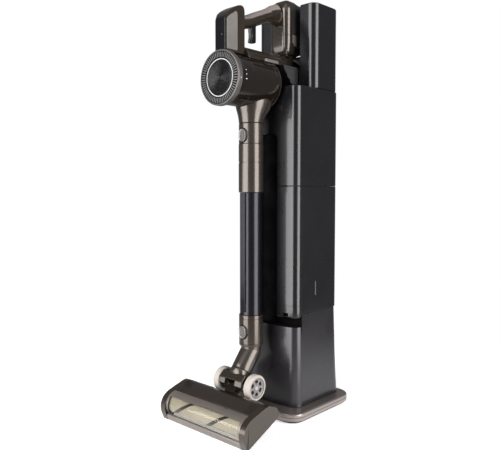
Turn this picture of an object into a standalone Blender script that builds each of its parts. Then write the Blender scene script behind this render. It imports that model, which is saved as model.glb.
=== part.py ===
"""A cordless stick vacuum standing on its self-emptying charging dock.

Metres, +Z up. The origin is the centre of the dock's underside, +X is the viewer's right from the front,
and the vacuum hangs in front of the dock, on the -Y side.
"""

import math

import bmesh
import bpy
from mathutils import Matrix, Vector

# Clearances
GAP = 0.0003  # between neighbours that are fixed to each other, and round a shaft
PLAY = 0.0006  # round a button or a trigger that travels

# Dock
BASE_WIDTH, BASE_DEPTH, BASE_THICK, BASE_CORNER = 0.220, 0.207, 0.016, 0.032
SOLE_THICK, SOLE_INSET = 0.004, 0.006
COLUMN_HALF, COLUMN_FRONT, COLUMN_BACK = 0.080, -0.0665, 0.0855
COLUMN_CORNER, WALL = 0.016, 0.0025
HOUSING_TOP, HOUSING_LEDGE, HOUSING_FLARE = 0.214, 0.187, 0.0065
SPLIT_HEIGHT, COLUMN_TOP = 0.481, 0.687
DOOR_BOTTOM, DOOR_DEPTH = 0.207, 0.022
NOTCH_PLACE, NOTCH_WIDTH, NOTCH_HEIGHT = 0.0535, 0.013, 0.0095
CHANNEL_HALF, CHANNEL_DEPTH, CHANNEL_TOP, CHANNEL_CORNER = 0.031, 0.020, 0.590, 0.012
POST_INNER, POST_FRONT, POST_TOP, POST_CORNER = 0.040, -0.0033, 0.864, 0.017
WINDOW_PLACE, WINDOW_WIDTH, WINDOW_LOW, WINDOW_HEIGHT = 0.005, 0.005, 0.247, 0.032
DUCT_PLACE, DUCT_RADIUS = 0.030, 0.016
BAG_BOTTOM, BAG_TOP = 0.240, 0.445
GRILLE_HALF, GRILLE_LOW, GRILLE_HIGH, GRILLE_SLOTS = 0.040, 0.045, 0.105, 6
INLET_PLACE, INLET_HEIGHT, INLET_HALF = 0.058, 0.060, 0.008
FAN_RADIUS, FAN_LOW, FAN_HEIGHT, FAN_BLADES = 0.040, 0.110, 0.018, 9

# Vacuum body
BARREL_HEIGHT, BARREL_RADIUS, BARREL_WALL = 0.690, 0.050, 0.0020
BARREL_FRONT, BARREL_BACK, REAR_CAP_BACK = -0.1915, -0.0775, -0.0690
CAP_FRONT, CAP_RADIUS, CAP_RING_RADIUS, CAP_RING_WIDTH = -0.204, BARREL_RADIUS + 0.00375, 0.0365, 0.0022
SPINE_HALF, SPINE_TOP, SPINE_BOTTOM, SPINE_REAR = 0.017, 0.757, 0.7335, 0.045
BLOCK_HALF, BLOCK_FRONT, BLOCK_REAR = 0.015, -0.200, -0.1473
GRIP_RADIUS = 0.0135
TRIGGER_PLACE, TRIGGER_HALF, TRIGGER_TRAVEL = -0.1105, 0.005, 0.003
HANDLE_HALF, HANDLE_FRONT, HANDLE_TOP = 0.026, -0.030, 0.876
BATTERY_HALF, BATTERY_FRONT, BATTERY_BACK = 0.0255, 0.004, 0.046
BATTERY_BOTTOM, BATTERY_TOP = 0.775, 0.868
LATCH_LENGTH, LATCH_ANGLE, LATCH_OFF = 0.040, math.radians(41), 0.0024

# Wand
WAND_PLACE, WAND_RADIUS, WAND_BORE = -0.1127, 0.023, 0.019
COLLAR_RADIUS, FUNNEL_LOW = 0.025, 0.6085
UPPER_LOW, TUBE_TOP, TUBE_LOW = 0.567, 0.468, 0.215
COLLAR_LOW, ELBOW_TURN = 0.150, 0.1376
BUTTON_HALF, BUTTON_HEIGHT, BUTTON_PROUD, BUTTON_TRAVEL = 0.009, 0.026, 0.003, 0.0018
UPPER_BUTTON, LOWER_BUTTON = 0.5835, 0.180

# Neck, wheels and floor head. Points of the head are given from the wheel axle, with the head level.
AXLE_PLACE, AXLE_HEIGHT, AXLE_RADIUS = -0.1487, 0.0763, 0.004
NECK_TILT, NECK_RADIUS, SEAM_OFFSET, SEAM_RISE = math.radians(39), 0.0215, 0.0057, 0.0240
YOKE_HALF, YOKE_SLOT = 0.0315, 0.0135
WHEEL_RADIUS, WHEEL_INNER, WHEEL_OUTER, TYRE_DEPTH = 0.026, 0.0345, 0.0515, 0.0055
ROLLER_RADIUS, ROLLER_PLACE, ROLLER_HEIGHT, ROLLER_ROOM = 0.0200, -0.0935, -0.0075, 0.0025
HEAD_HALF, END_CAP_WIDTH, HEAD_FRONT = 0.119, 0.014, ROLLER_PLACE - ROLLER_RADIUS - 0.0105
HEAD_BOTTOM = ROLLER_HEIGHT - ROLLER_RADIUS - 0.001
WINDOW_THICK = 0.0020
HEAD_SWING = WHEEL_RADIUS + 0.0055  # the head stays this far from the axle, clear of the wheels
ROLLER_PULLEY, MOTOR_PULLEY, BELT_THICK, BELT_WIDTH = 0.0080, 0.0050, 0.0012, 0.005
HEAD_MOTOR_PLACE, HEAD_MOTOR_HEIGHT, HEAD_MOTOR_RADIUS = -0.0500, -0.0100, 0.0105

# The head leans on the front edge of its underside: the angle brings that edge down to the floor.
HEAD_REACH = math.hypot(HEAD_FRONT, HEAD_BOTTOM)
HEAD_LEAN = math.asin(AXLE_HEIGHT / HEAD_REACH) - math.atan2(-HEAD_BOTTOM, -HEAD_FRONT)

X_AXIS, Y_AXIS, Z_AXIS = (1, 0, 0), (0, 1, 0), (0, 0, 1)
NECK_AXIS = (0, -math.sin(NECK_TILT), -math.cos(NECK_TILT))


# ---- modelling helpers ----

for old in list(bpy.data.objects):
    bpy.data.objects.remove(old, do_unlink=True)
parts = bpy.data.collections.new("stick_vacuum")
cutters = bpy.data.collections.new("cutters")
for collection in (parts, cutters):
    bpy.context.scene.collection.children.link(collection)


def paint(name, red, green, blue, roughness, metallic=0.0, alpha=1.0):
    """A plain Principled material, with its colour given as 0 to 255 display values."""
    material = bpy.data.materials.new(name)
    material.use_nodes = True
    shader = material.node_tree.nodes["Principled BSDF"]
    colour = [(channel / 255) ** 2.2 for channel in (red, green, blue)]
    shader.inputs["Base Color"].default_value = (*colour, 1.0)
    shader.inputs["Roughness"].default_value = roughness
    shader.inputs["Metallic"].default_value = metallic
    shader.inputs["Alpha"].default_value = alpha
    return material


def place(name, mesh, material, at=(0, 0, 0), on=None, edge=0.0):
    """Puts a mesh in the parts collection, on its pivot, with its sharp rims slightly rounded."""
    obj = bpy.data.objects.new(name, mesh)
    parts.objects.link(obj)
    mesh.materials.append(material)
    mesh.shade_smooth()
    mesh.set_sharp_from_angle(angle=math.radians(35))
    obj.location = at
    obj.parent = on
    if edge:
        bevel = obj.modifiers.new("edge", "BEVEL")
        bevel.width = edge
        bevel.segments = 2
        bevel.limit_method = "ANGLE"
        bevel.angle_limit = math.radians(50)
    return obj


def block(name, low, high, material, corner=0.0, along=2, only=None, steps=5, flare=0.0, edge=0.0,
          on=None):
    """A box between two corners, its edges along one axis rounded and its foot flared if asked."""
    low, high = Vector(low), Vector(high)
    centre, size = (low + high) / 2, high - low
    shape = bmesh.new()
    bmesh.ops.create_cube(shape, size=1.0, matrix=Matrix.Diagonal((*size, 1.0)))
    for vertex in shape.verts:
        if vertex.co.z < 0:
            vertex.co.x += math.copysign(flare, vertex.co.x)
            vertex.co.y += math.copysign(flare, vertex.co.y)
    if corner:
        chosen = []
        for side in shape.edges:
            run = side.verts[1].co - side.verts[0].co
            middle = (side.verts[0].co + side.verts[1].co) / 2 + centre
            if abs(run.normalized()[along]) > 0.9 and (only is None or only(middle)):
                chosen.append(side)
        bmesh.ops.bevel(shape, geom=chosen, offset=corner, segments=steps, profile=0.5, affect="EDGES")
    mesh = bpy.data.meshes.new(name)
    shape.to_mesh(mesh)
    shape.free()
    return place(name, mesh, material, centre, on, edge)


def turned(name, profile, at, axis, material, steps=32, ring=False, on=None):
    """A profile of (radius, height) pairs, listed down its outer side, turned about an axis."""
    shape = bmesh.new()
    corners = [shape.verts.new((radius, 0, height)) for radius, height in profile]
    for first, second in zip(corners, corners[1:]):
        shape.edges.new((first, second))
    if ring:
        shape.edges.new((corners[-1], corners[0]))
    mesh = bpy.data.meshes.new(name)
    shape.to_mesh(mesh)
    shape.free()
    obj = place(name, mesh, material, at, on)
    obj.rotation_euler = Vector(axis).to_track_quat("Z", "Y").to_euler()
    turn = obj.modifiers.new("turn", "SCREW")
    turn.steps = turn.render_steps = steps
    turn.use_merge_vertices = True
    turn.merge_threshold = 0.00001
    turn.use_smooth_shade = True
    return obj


def tube(name, outer, inner, low, high, at, axis, material, steps=32, on=None):
    """A straight tube between two heights along its axis."""
    profile = [(outer, high), (outer, low), (inner, low), (inner, high)]
    return turned(name, profile, at, axis, material, steps, True, on)


def rod(name, radius, low, high, at, axis, material, steps=32, on=None):
    """A straight round bar between two heights along its axis."""
    profile = [(0, high), (radius, high), (radius, low), (0, low)]
    return turned(name, profile, at, axis, material, steps, False, on)


def welded(curve_object, material, edge=0.0, on=None):
    """Makes a curve object a closed mesh, which can be cut, joined and bevelled."""
    bpy.context.view_layer.update()
    graph = bpy.context.evaluated_depsgraph_get()
    mesh = bpy.data.meshes.new_from_object(curve_object.evaluated_get(graph))
    name, world = curve_object.name, curve_object.matrix_world.copy()
    bpy.data.objects.remove(curve_object, do_unlink=True)
    mesh.transform(world)
    shape = bmesh.new()
    shape.from_mesh(mesh)
    bmesh.ops.remove_doubles(shape, verts=shape.verts, dist=0.000001)
    bmesh.ops.recalc_face_normals(shape, faces=shape.faces)
    shape.to_mesh(mesh)
    shape.free()
    mesh.materials.clear()
    return place(name, mesh, material, (0, 0, 0), on, edge)


def outline(name, loops, low, high, material, edge=0.0, on=None):
    """A flat outline of (y, z) points, the later loops being holes in it, extruded along X."""
    curve = bpy.data.curves.new(name, "CURVE")
    curve.dimensions = "2D"
    curve.fill_mode = "BOTH"
    curve.extrude = (high - low) / 2
    for loop in loops:
        spline = curve.splines.new("POLY")
        spline.points.add(len(loop) - 1)
        for point, (across, up) in zip(spline.points, loop):
            point.co = (across, up, 0, 1)
        spline.use_cyclic_u = True
    obj = bpy.data.objects.new(name, curve)
    parts.objects.link(obj)
    obj.location.x = (low + high) / 2
    obj.rotation_euler = (math.pi / 2, 0, math.pi / 2)
    return welded(obj, material, edge, on)


def bar(name, route, radius, material, sides=4):
    """A round bar along a smooth route of (y, z) points on the middle plane."""
    curve = bpy.data.curves.new(name, "CURVE")
    curve.dimensions = "3D"
    curve.bevel_depth = radius
    curve.bevel_resolution = sides
    curve.use_fill_caps = True
    curve.resolution_u = 3
    spline = curve.splines.new("BEZIER")
    spline.bezier_points.add(len(route) - 1)
    for point, (across, up) in zip(spline.bezier_points, route):
        point.co = (0, across, up)
        point.handle_left_type = point.handle_right_type = "AUTO"
    obj = bpy.data.objects.new(name, curve)
    parts.objects.link(obj)
    return welded(obj, material)


def arc(centre, radius, start, end, count):
    """Points (y, z) round part of a circle, with the angles in degrees from +Y towards +Z."""
    points = []
    for step in range(count + 1):
        angle = math.radians(start + (end - start) * step / count)
        points.append((centre[0] + radius * math.cos(angle), centre[1] + radius * math.sin(angle)))
    return points


def cut(target, *tools, mode="DIFFERENCE"):
    """Cuts tools from a piece, or joins them to it."""
    for tool in tools:
        boolean = target.modifiers.new("cut", "BOOLEAN")
        boolean.operation = mode
        boolean.object = tool
        parts.objects.unlink(tool)
        cutters.objects.link(tool)
        tool.hide_render = True
        tool.display_type = "WIRE"
    return target


def pivot(name, at, turn=0.0, on=None):
    """An empty on a joint's axis, which the pieces of that joint hang from."""
    empty = bpy.data.objects.new(name, None)
    parts.objects.link(empty)
    empty.empty_display_size = 0.02
    empty.parent = on
    empty.location = Vector(at) - (on.location if on else Vector())
    empty.rotation_euler.x = turn
    return empty


def hang(joint, at, *pieces):
    """Parents pieces to the empty at a point and leaves them where they are."""
    for piece in pieces:
        piece.parent = joint
        piece.matrix_parent_inverse = Matrix.Translation(at).inverted()


# ---- finishes ----

GUNMETAL = paint("gunmetal", 92, 84, 78, 0.28, 0.75)
SMOKED = paint("smoked_bin", 60, 50, 43, 0.12, 0.0, 0.55)
MAUVE = paint("soft_grip", 122, 112, 110, 0.55)
BLACK = paint("black_gloss", 20, 20, 24, 0.18)
CHARCOAL = paint("charcoal_satin", 44, 43, 47, 0.35, 0.3)
HOUSING = paint("housing_satin", 74, 71, 74, 0.32, 0.45)
MATTE = paint("matte_black", 14, 14, 15, 0.6)
PLATE = paint("base_metallic", 128, 120, 116, 0.30, 0.6)
RUBBER = paint("rubber", 28, 28, 28, 0.8)
SILVER = paint("bright_trim", 215, 214, 212, 0.18, 0.9)
WHITE = paint("white_ring", 236, 237, 240, 0.35)
CREAM = paint("tyre_cream", 212, 204, 196, 0.6)
HUB = paint("hub_grey", 158, 152, 151, 0.35, 0.4)
BRUSH = paint("brush_nap", 205, 198, 178, 0.9)
CLEAR = paint("clear_window", 225, 222, 216, 0.05, 0.0, 0.25)
STEEL = paint("steel", 170, 170, 172, 0.3, 1.0)
FILTER = paint("filter_media", 214, 212, 204, 0.9)
PAPER = paint("bag_paper", 196, 178, 150, 0.85)
BOARD = paint("circuit_green", 24, 84, 52, 0.5)
CELL = paint("cell_blue", 40, 84, 150, 0.4)


# ---- dock: foot and lower housing ----

base_top = SOLE_THICK + GAP + BASE_THICK
half_width, half_depth = BASE_WIDTH / 2, BASE_DEPTH / 2
sole_x, sole_y = half_width - SOLE_INSET, half_depth - SOLE_INSET
block("sole", (-sole_x, -sole_y, 0), (sole_x, sole_y, SOLE_THICK), RUBBER, BASE_CORNER - SOLE_INSET)
block("base_plate", (-half_width, -half_depth, SOLE_THICK + GAP), (half_width, half_depth, base_top),
      PLATE, BASE_CORNER, steps=8, edge=0.003)

inner_x, inner_front, inner_back = COLUMN_HALF - WALL, COLUMN_FRONT + WALL, COLUMN_BACK - WALL
door_back = COLUMN_FRONT + DOOR_DEPTH
shell_front = door_back + GAP
housing = block("lower_housing", (-COLUMN_HALF, COLUMN_FRONT, base_top + GAP),
                (COLUMN_HALF, COLUMN_BACK, HOUSING_TOP), HOUSING, COLUMN_CORNER, flare=HOUSING_FLARE)
cut(housing,
    block("step_cut", (-0.2, -0.2, HOUSING_LEDGE), (0.2, shell_front, 0.3), HOUSING),
    block("fan_room", (-inner_x, inner_front, 0), (inner_x, inner_back, HOUSING_LEDGE - WALL), HOUSING,
          COLUMN_CORNER - WALL),
    block("upper_room", (-inner_x, shell_front + WALL, 0.1), (inner_x, inner_back, 0.3), HOUSING,
          COLUMN_CORNER - WALL, only=lambda middle: middle.y > 0),
    block("grille_cut", (-GRILLE_HALF, inner_back - 0.002, GRILLE_LOW), (GRILLE_HALF, 0.2, GRILLE_HIGH),
          HOUSING),
    block("inlet_cut", (INLET_PLACE - INLET_HALF, 0.06, INLET_HEIGHT - INLET_HALF),
          (INLET_PLACE + INLET_HALF, 0.2, INLET_HEIGHT + INLET_HALF), HOUSING))

grille = block("exhaust_grille", (-GRILLE_HALF + GAP, inner_back, GRILLE_LOW + GAP),
               (GRILLE_HALF - GAP, COLUMN_BACK, GRILLE_HIGH - GAP), MATTE)
slot_pitch = (GRILLE_HIGH - GRILLE_LOW) / GRILLE_SLOTS
for index in range(GRILLE_SLOTS):
    slot_middle = GRILLE_LOW + slot_pitch * (index + 0.5)
    cut(grille, block(f"grille_slot_{index}", (-GRILLE_HALF + 0.004, 0, slot_middle - slot_pitch / 4),
                      (GRILLE_HALF - 0.004, 0.2, slot_middle + slot_pitch / 4), MATTE))
block("exhaust_filter", (-GRILLE_HALF, inner_back - 0.018, GRILLE_LOW),
      (GRILLE_HALF, inner_back - 0.003, GRILLE_HIGH), FILTER)
inlet = block("power_inlet", (INLET_PLACE - INLET_HALF + GAP, COLUMN_BACK - 0.014,
                              INLET_HEIGHT - INLET_HALF + GAP),
              (INLET_PLACE + INLET_HALF - GAP, COLUMN_BACK + 0.002, INLET_HEIGHT + INLET_HALF - GAP),
              MATTE)
cut(inlet, rod("inlet_bore", 0.0045, -0.008, 0.05, (INLET_PLACE, COLUMN_BACK, INLET_HEIGHT), Y_AXIS,
               MATTE, 16))

fan_axis = (0, 0.005, 0)
motor_top = FAN_LOW - 0.003
motor_case = rod("fan_motor", 0.026, base_top + GAP, motor_top, fan_axis, Z_AXIS, STEEL)
cut(motor_case, rod("fan_motor_bore", AXLE_RADIUS + GAP, 0.06, 0.2, fan_axis, Z_AXIS, STEEL, 16))
fan_top = FAN_LOW + FAN_HEIGHT
fan = turned("dock_fan", [(0, fan_top), (0.012, fan_top), (0.016, FAN_LOW + 0.004),
                          (FAN_RADIUS, FAN_LOW + 0.003),
                          (FAN_RADIUS, FAN_LOW), (AXLE_RADIUS, FAN_LOW), (AXLE_RADIUS, 0.070),
                          (0, 0.070)],
             fan_axis, Z_AXIS, CHARCOAL)
for index in range(FAN_BLADES):
    blade = block(f"fan_blade_{index}", (-0.001, 0.011, FAN_LOW + 0.001),
                  (0.001, FAN_RADIUS - 0.001, fan_top - 0.002),
                  CHARCOAL)
    blade.data.transform(Matrix.Translation(blade.location))
    blade.location = fan_axis
    blade.rotation_euler.z = math.tau * index / FAN_BLADES
    cut(fan, blade, mode="UNION")
hang(pivot("dock_fan_axis", fan_axis), fan_axis, fan)


# ---- dock: bag door, column, posts and what they hold ----

channel_back = COLUMN_FRONT + CHANNEL_DEPTH
pocket_in = CHANNEL_HALF + WALL


def front_pockets(label, low, high, back):
    """The hollows on both sides of the front channel, cut from behind."""
    hollows = []
    for side in (-1, 1):
        ends = sorted((side * pocket_in, side * (inner_x - GAP)))
        hollows.append(block(f"{label}_{side}", (ends[0], inner_front, low), (ends[1], back, high),
                             CHARCOAL,
                             COLUMN_CORNER - WALL,
                             only=lambda middle: middle.y < inner_front + 0.001 and abs(middle.x) > inner_x - 0.001))
    return hollows


door = block("bag_door", (-COLUMN_HALF, COLUMN_FRONT, DOOR_BOTTOM),
             (COLUMN_HALF, door_back, SPLIT_HEIGHT - GAP),
             CHARCOAL, COLUMN_CORNER, only=lambda middle: middle.y < COLUMN_FRONT + 0.001)
door_cuts = front_pockets("door_pocket", DOOR_BOTTOM + WALL, SPLIT_HEIGHT - WALL, door_back + 0.01)
door_cuts.append(block("door_channel", (-CHANNEL_HALF, -0.2, 0.1), (CHANNEL_HALF, channel_back, 0.6),
                       CHARCOAL))
for side in (-1, 1):
    door_cuts.append(block(f"door_notch_{side}", (side * NOTCH_PLACE - NOTCH_WIDTH / 2, -0.2, 0.1),
                           (side * NOTCH_PLACE + NOTCH_WIDTH / 2, COLUMN_FRONT + 0.006,
                            DOOR_BOTTOM + NOTCH_HEIGHT),
                           CHARCOAL))
cut(door, *door_cuts)
hang(pivot("bag_door_pull", (0, 0, 0)), (0, 0, 0), door)

lower = block("column_lower", (-COLUMN_HALF, shell_front, HOUSING_TOP + GAP),
              (COLUMN_HALF, COLUMN_BACK, SPLIT_HEIGHT - GAP),
              CHARCOAL, COLUMN_CORNER, only=lambda middle: middle.y > 0)
cut(lower,
    block("bag_room", (-inner_x, shell_front + WALL, 0), (inner_x, inner_back, 1), CHARCOAL,
          COLUMN_CORNER - WALL,
          only=lambda middle: middle.y > 0),
    block("bag_way", (-0.066, -0.2, BAG_BOTTOM - 0.004), (0.066, 0, BAG_TOP + 0.010), CHARCOAL),
    block("level_slot", (inner_x - 0.01, WINDOW_PLACE - WINDOW_WIDTH / 2, WINDOW_LOW),
          (0.2, WINDOW_PLACE + WINDOW_WIDTH / 2, WINDOW_LOW + WINDOW_HEIGHT), CHARCOAL))

upper = block("column_upper", (-COLUMN_HALF, COLUMN_FRONT, SPLIT_HEIGHT),
              (COLUMN_HALF, COLUMN_BACK, COLUMN_TOP),
              CHARCOAL, COLUMN_CORNER, edge=0.001)
ceiling = COLUMN_TOP - WALL
cut(upper,
    block("duct_room", (-inner_x, channel_back + WALL, 0.4), (inner_x, inner_back, ceiling), CHARCOAL,
          COLUMN_CORNER - WALL, only=lambda middle: middle.y > 0),
    *front_pockets("column_pocket", 0.39, ceiling - GAP, channel_back + WALL + 0.002),
    block("top_pocket", (-pocket_in - 0.001, inner_front + GAP, CHANNEL_TOP + WALL),
          (pocket_in + 0.001, channel_back + WALL + 0.003, ceiling - 2 * GAP), CHARCOAL),
    block("column_channel", (-CHANNEL_HALF, -0.2, 0.4), (CHANNEL_HALF, channel_back, CHANNEL_TOP),
          CHARCOAL,
          CHANNEL_CORNER, along=1),
    rod("port_cut", DUCT_RADIUS + GAP, 0.6, 0.8, (0, DUCT_PLACE, 0), Z_AXIS, CHARCOAL))

for side, name in ((-1, "post_left"), (1, "post_right")):
    near, far = sorted((side * POST_INNER, side * (COLUMN_HALF - 0.001)))
    post = block(name, (near, POST_FRONT, COLUMN_TOP + GAP), (far, COLUMN_BACK - 0.001, POST_TOP),
                 CHARCOAL,
                 POST_CORNER, only=lambda middle: abs(middle.x) > POST_INNER + 0.01, edge=0.0015)
    near, far = sorted((side * (POST_INNER + WALL), side * (COLUMN_HALF - 0.001 - WALL)))
    cut(post, block(f"{name}_room", (near, POST_FRONT + WALL, 0.6),
                    (far, COLUMN_BACK - 0.001 - WALL, POST_TOP - WALL),
                    CHARCOAL, POST_CORNER - WALL, only=lambda middle: abs(middle.x) > POST_INNER + 0.01))

cradle_half, cradle_back, cradle_top = POST_INNER - 0.006, 0.066, BATTERY_BOTTOM - 0.004
cradle = outline("cradle", [[(-0.012, COLUMN_TOP + GAP), (cradle_back, COLUMN_TOP + GAP),
                             (cradle_back, cradle_top),
                             (SPINE_REAR + 0.006, cradle_top), (SPINE_REAR + 0.0015, cradle_top - 0.006),
                             (SPINE_REAR + 0.0015, SPINE_BOTTOM - GAP), (-0.050, SPINE_BOTTOM - GAP),
                             (-0.046, SPINE_BOTTOM - 0.010)]], -cradle_half, cradle_half, MATTE)
cut(cradle, rod("cradle_port", DUCT_RADIUS - 0.002, 0.6, 0.8, (0, DUCT_PLACE, 0), Z_AXIS, MATTE))

holder_low = BAG_TOP + 0.002
tube("dust_duct", DUCT_RADIUS, DUCT_RADIUS - 0.002, holder_low + 0.004 + GAP, COLUMN_TOP,
     (0, DUCT_PLACE, 0),
     Z_AXIS, MATTE)
holder = block("bag_holder", (-0.066, shell_front + WALL + GAP, holder_low),
               (0.066, inner_back - GAP, holder_low + 0.004),
               HOUSING)
cut(holder, rod("holder_mouth", DUCT_RADIUS - 0.002, 0.4, 0.5, (0, DUCT_PLACE, 0), Z_AXIS, HOUSING))
block("dust_bag", (-0.062, shell_front + WALL + 0.004, BAG_BOTTOM), (0.062, inner_back - 0.006, BAG_TOP),
      PAPER, 0.012)
board_low, board_high = 0.530, 0.620
block("circuit_board", (-0.045, inner_back - 0.0022, board_low), (0.045, inner_back - 0.0006, board_high),
      BOARD)


# ---- vacuum: bin barrel, motor and filter cap ----

barrel_axis = (0, 0, BARREL_HEIGHT)
barrel_inner = BARREL_RADIUS - BARREL_WALL
barrel = tube("bin_barrel", BARREL_RADIUS, barrel_inner, BARREL_FRONT, BARREL_BACK, barrel_axis, Y_AXIS,
              SMOKED, 48)
cut(barrel, rod("intake_cut", WAND_BORE, 0.60, 0.66, (0, WAND_PLACE, 0), Z_AXIS, SMOKED))
turned("rear_cap", [(0, REAR_CAP_BACK), (0.034, REAR_CAP_BACK), (0.046, REAR_CAP_BACK - 0.003),
                    (BARREL_RADIUS, BARREL_BACK + 0.003), (BARREL_RADIUS, BARREL_BACK + GAP),
                    (0, BARREL_BACK + GAP)], barrel_axis, Y_AXIS, GUNMETAL, 48)
turned("cyclone_cone", [(0, BARREL_BACK), (0.014, BARREL_BACK), (0.026, -0.098), (0.026, -0.102),
                        (0, -0.102)],
       barrel_axis, Y_AXIS, MATTE)
fan_face, motor_face = -0.1185, -0.1195
turned("impeller", [(0, -0.1040), (0.006, -0.1040), (0.010, -0.1120), (0.024, fan_face + 0.001),
                    (0.024, fan_face - 0.001), (0.0025, fan_face - 0.001), (0.0025, -0.135), (0, -0.135)],
       barrel_axis, Y_AXIS, STEEL)
motor = turned("suction_motor", [(0, motor_face - GAP), (0.014, motor_face - GAP), (0.022, -0.126),
                                 (0.022, -0.160),
                                 (0.010, -0.166), (0, -0.166)], barrel_axis, Y_AXIS, STEEL)
cut(motor, rod("motor_bore", 0.0025 + GAP, -0.140, -0.10, barrel_axis, Y_AXIS, STEEL, 16))
tube("cap_filter", barrel_inner - GAP, 0.012, BARREL_FRONT, -0.172, barrel_axis, Y_AXIS, FILTER)

cap_back, cap_sunk = BARREL_FRONT - GAP, CAP_FRONT + 0.002
cap_point = (0, CAP_FRONT, BARREL_HEIGHT)
ring_out, ring_in = CAP_RING_RADIUS, CAP_RING_RADIUS - CAP_RING_WIDTH
cap = turned("filter_cap", [(0, cap_back), (CAP_RADIUS - 0.0015, cap_back),
                            (CAP_RADIUS, cap_back - 0.0015),
                            (CAP_RADIUS, CAP_FRONT + 0.001), (CAP_RADIUS - 0.001, CAP_FRONT),
                            (CAP_RADIUS - 0.0035, CAP_FRONT), (CAP_RADIUS - 0.0035, cap_sunk),
                            (ring_out + GAP, cap_sunk), (ring_out + GAP, cap_sunk + 0.003),
                            (ring_in - GAP, cap_sunk + 0.003),
                            (ring_in - GAP, cap_sunk), (0, cap_sunk + 0.0015)], barrel_axis, Y_AXIS,
             MAUVE, 40)
ring = tube("cap_ring", ring_out, ring_in, cap_sunk - 0.0008, cap_sunk + 0.003 - GAP, barrel_axis, Y_AXIS,
            WHITE, 48)
hang(pivot("cap_turn", cap_point), cap_point, cap, ring)


# ---- vacuum: spine, front block, grip, handle and battery ----

on_barrel = BARREL_HEIGHT + BARREL_RADIUS + GAP
clear_of_cap = BARREL_HEIGHT + CAP_RADIUS + 0.0015
outline("spine", [[(BLOCK_REAR + GAP, on_barrel), (BLOCK_REAR + GAP, SPINE_TOP),
                   (HANDLE_FRONT + 0.010, SPINE_TOP),
                   (0.010, SPINE_TOP - 0.005), (SPINE_REAR, 0.738), (SPINE_REAR, SPINE_BOTTOM),
                   (REAR_CAP_BACK + 0.001, SPINE_BOTTOM), (REAR_CAP_BACK + 0.001, on_barrel)]],
        -SPINE_HALF, SPINE_HALF, GUNMETAL, edge=0.002)
outline("front_block", [[(BLOCK_FRONT, clear_of_cap), (BARREL_FRONT + 0.001, clear_of_cap),
                         (BARREL_FRONT + 0.001, on_barrel), (BLOCK_REAR, on_barrel), (BLOCK_REAR, 0.831),
                         (BLOCK_REAR - 0.005, 0.8345), (BLOCK_REAR - 0.022, 0.829),
                         (BLOCK_FRONT + 0.005, 0.8115),
                         (BLOCK_FRONT, 0.803)]], -BLOCK_HALF, BLOCK_HALF, GUNMETAL, edge=0.003)
grip = bar("grip", [(BLOCK_REAR + 0.0175, 0.809), (-0.105, 0.8195), (-0.075, 0.832),
                    (HANDLE_FRONT + 0.004, 0.851)],
           GRIP_RADIUS, MAUVE, 3)
grip_end = rod("grip_root", GRIP_RADIUS * 0.93, BLOCK_REAR + GAP, BLOCK_REAR + 0.024, (0, 0, 0.8065),
               Y_AXIS, MAUVE, 24)
cut(grip, grip_end, mode="UNION")
cut(grip, block("handle_side", (-0.05, HANDLE_FRONT - GAP, 0.7), (0.05, 0.05, 0.95), MAUVE))
pocket_top, trigger_depth = 0.812, 0.0075
cut(grip, block("trigger_pocket", (-TRIGGER_HALF - PLAY, TRIGGER_PLACE - trigger_depth - PLAY, 0.79),
                (TRIGGER_HALF + PLAY, TRIGGER_PLACE + trigger_depth + PLAY, pocket_top), MAUVE))
trigger = block("trigger", (-TRIGGER_HALF, TRIGGER_PLACE - trigger_depth, 0.771),
                (TRIGGER_HALF, TRIGGER_PLACE + trigger_depth, pocket_top - TRIGGER_TRAVEL - PLAY), BLACK,
                0.003, along=0)
trigger_point = (0, TRIGGER_PLACE, 0.79)
hang(pivot("trigger_slide", trigger_point), trigger_point, trigger)

handle = outline("handle_column", [[(HANDLE_FRONT, 0.858), (HANDLE_FRONT, 0.792),
                                    (HANDLE_FRONT + 0.006, SPINE_TOP + GAP),
                                    (BATTERY_FRONT - 0.006, SPINE_TOP - 0.0010),
                                    (BATTERY_BACK - 0.004, BATTERY_BOTTOM - 0.002),
                                    (BATTERY_BACK - 0.004, HANDLE_TOP - 0.006), (-0.004, HANDLE_TOP),
                                    (-0.020, 0.869)]],
                 -HANDLE_HALF, HANDLE_HALF, GUNMETAL, edge=0.004)
cut(handle, block("battery_room", (-HANDLE_HALF - 0.01, BATTERY_FRONT - GAP, BATTERY_BOTTOM - GAP),
                  (HANDLE_HALF + 0.01, 0.1, 0.9), GUNMETAL))

battery = block("battery_case", (-BATTERY_HALF, BATTERY_FRONT, BATTERY_BOTTOM),
                (BATTERY_HALF, BATTERY_BACK, BATTERY_TOP),
                BLACK, 0.008, only=lambda middle: middle.y > BATTERY_BACK - 0.001)
cell_radius, cell_place = 0.009, (BATTERY_FRONT + BATTERY_BACK) / 2 + 0.001
press_half, press_low, press_travel = 0.006, BATTERY_TOP - 0.0025, 0.0015
cut(battery,
    block("cell_room", (-BATTERY_HALF + 0.002, BATTERY_FRONT - 0.01, BATTERY_BOTTOM + 0.003),
          (BATTERY_HALF - 0.002, BATTERY_BACK - 0.003, BATTERY_TOP - 0.007), BLACK),
    block("press_room", (-press_half - GAP, cell_place - 0.008 - GAP, press_low - press_travel - GAP),
          (press_half + GAP, cell_place + 0.008 + GAP, 0.9), BLACK))
cells = block("cell_pack", (-BATTERY_HALF + 0.0035, cell_place - cell_radius, BATTERY_BOTTOM + 0.006),
              (BATTERY_HALF - 0.0035, cell_place + cell_radius, BATTERY_BOTTOM + 0.076), CELL,
              cell_radius * 0.98)
press = block("battery_button", (-press_half, cell_place - 0.008, press_low),
              (press_half, cell_place + 0.008, BATTERY_TOP + 0.002),
              SILVER, 0.002)
battery_point = (0, BATTERY_FRONT, BATTERY_TOP)
hang(pivot("battery_slide", battery_point), battery_point, battery, press, cells)

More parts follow.
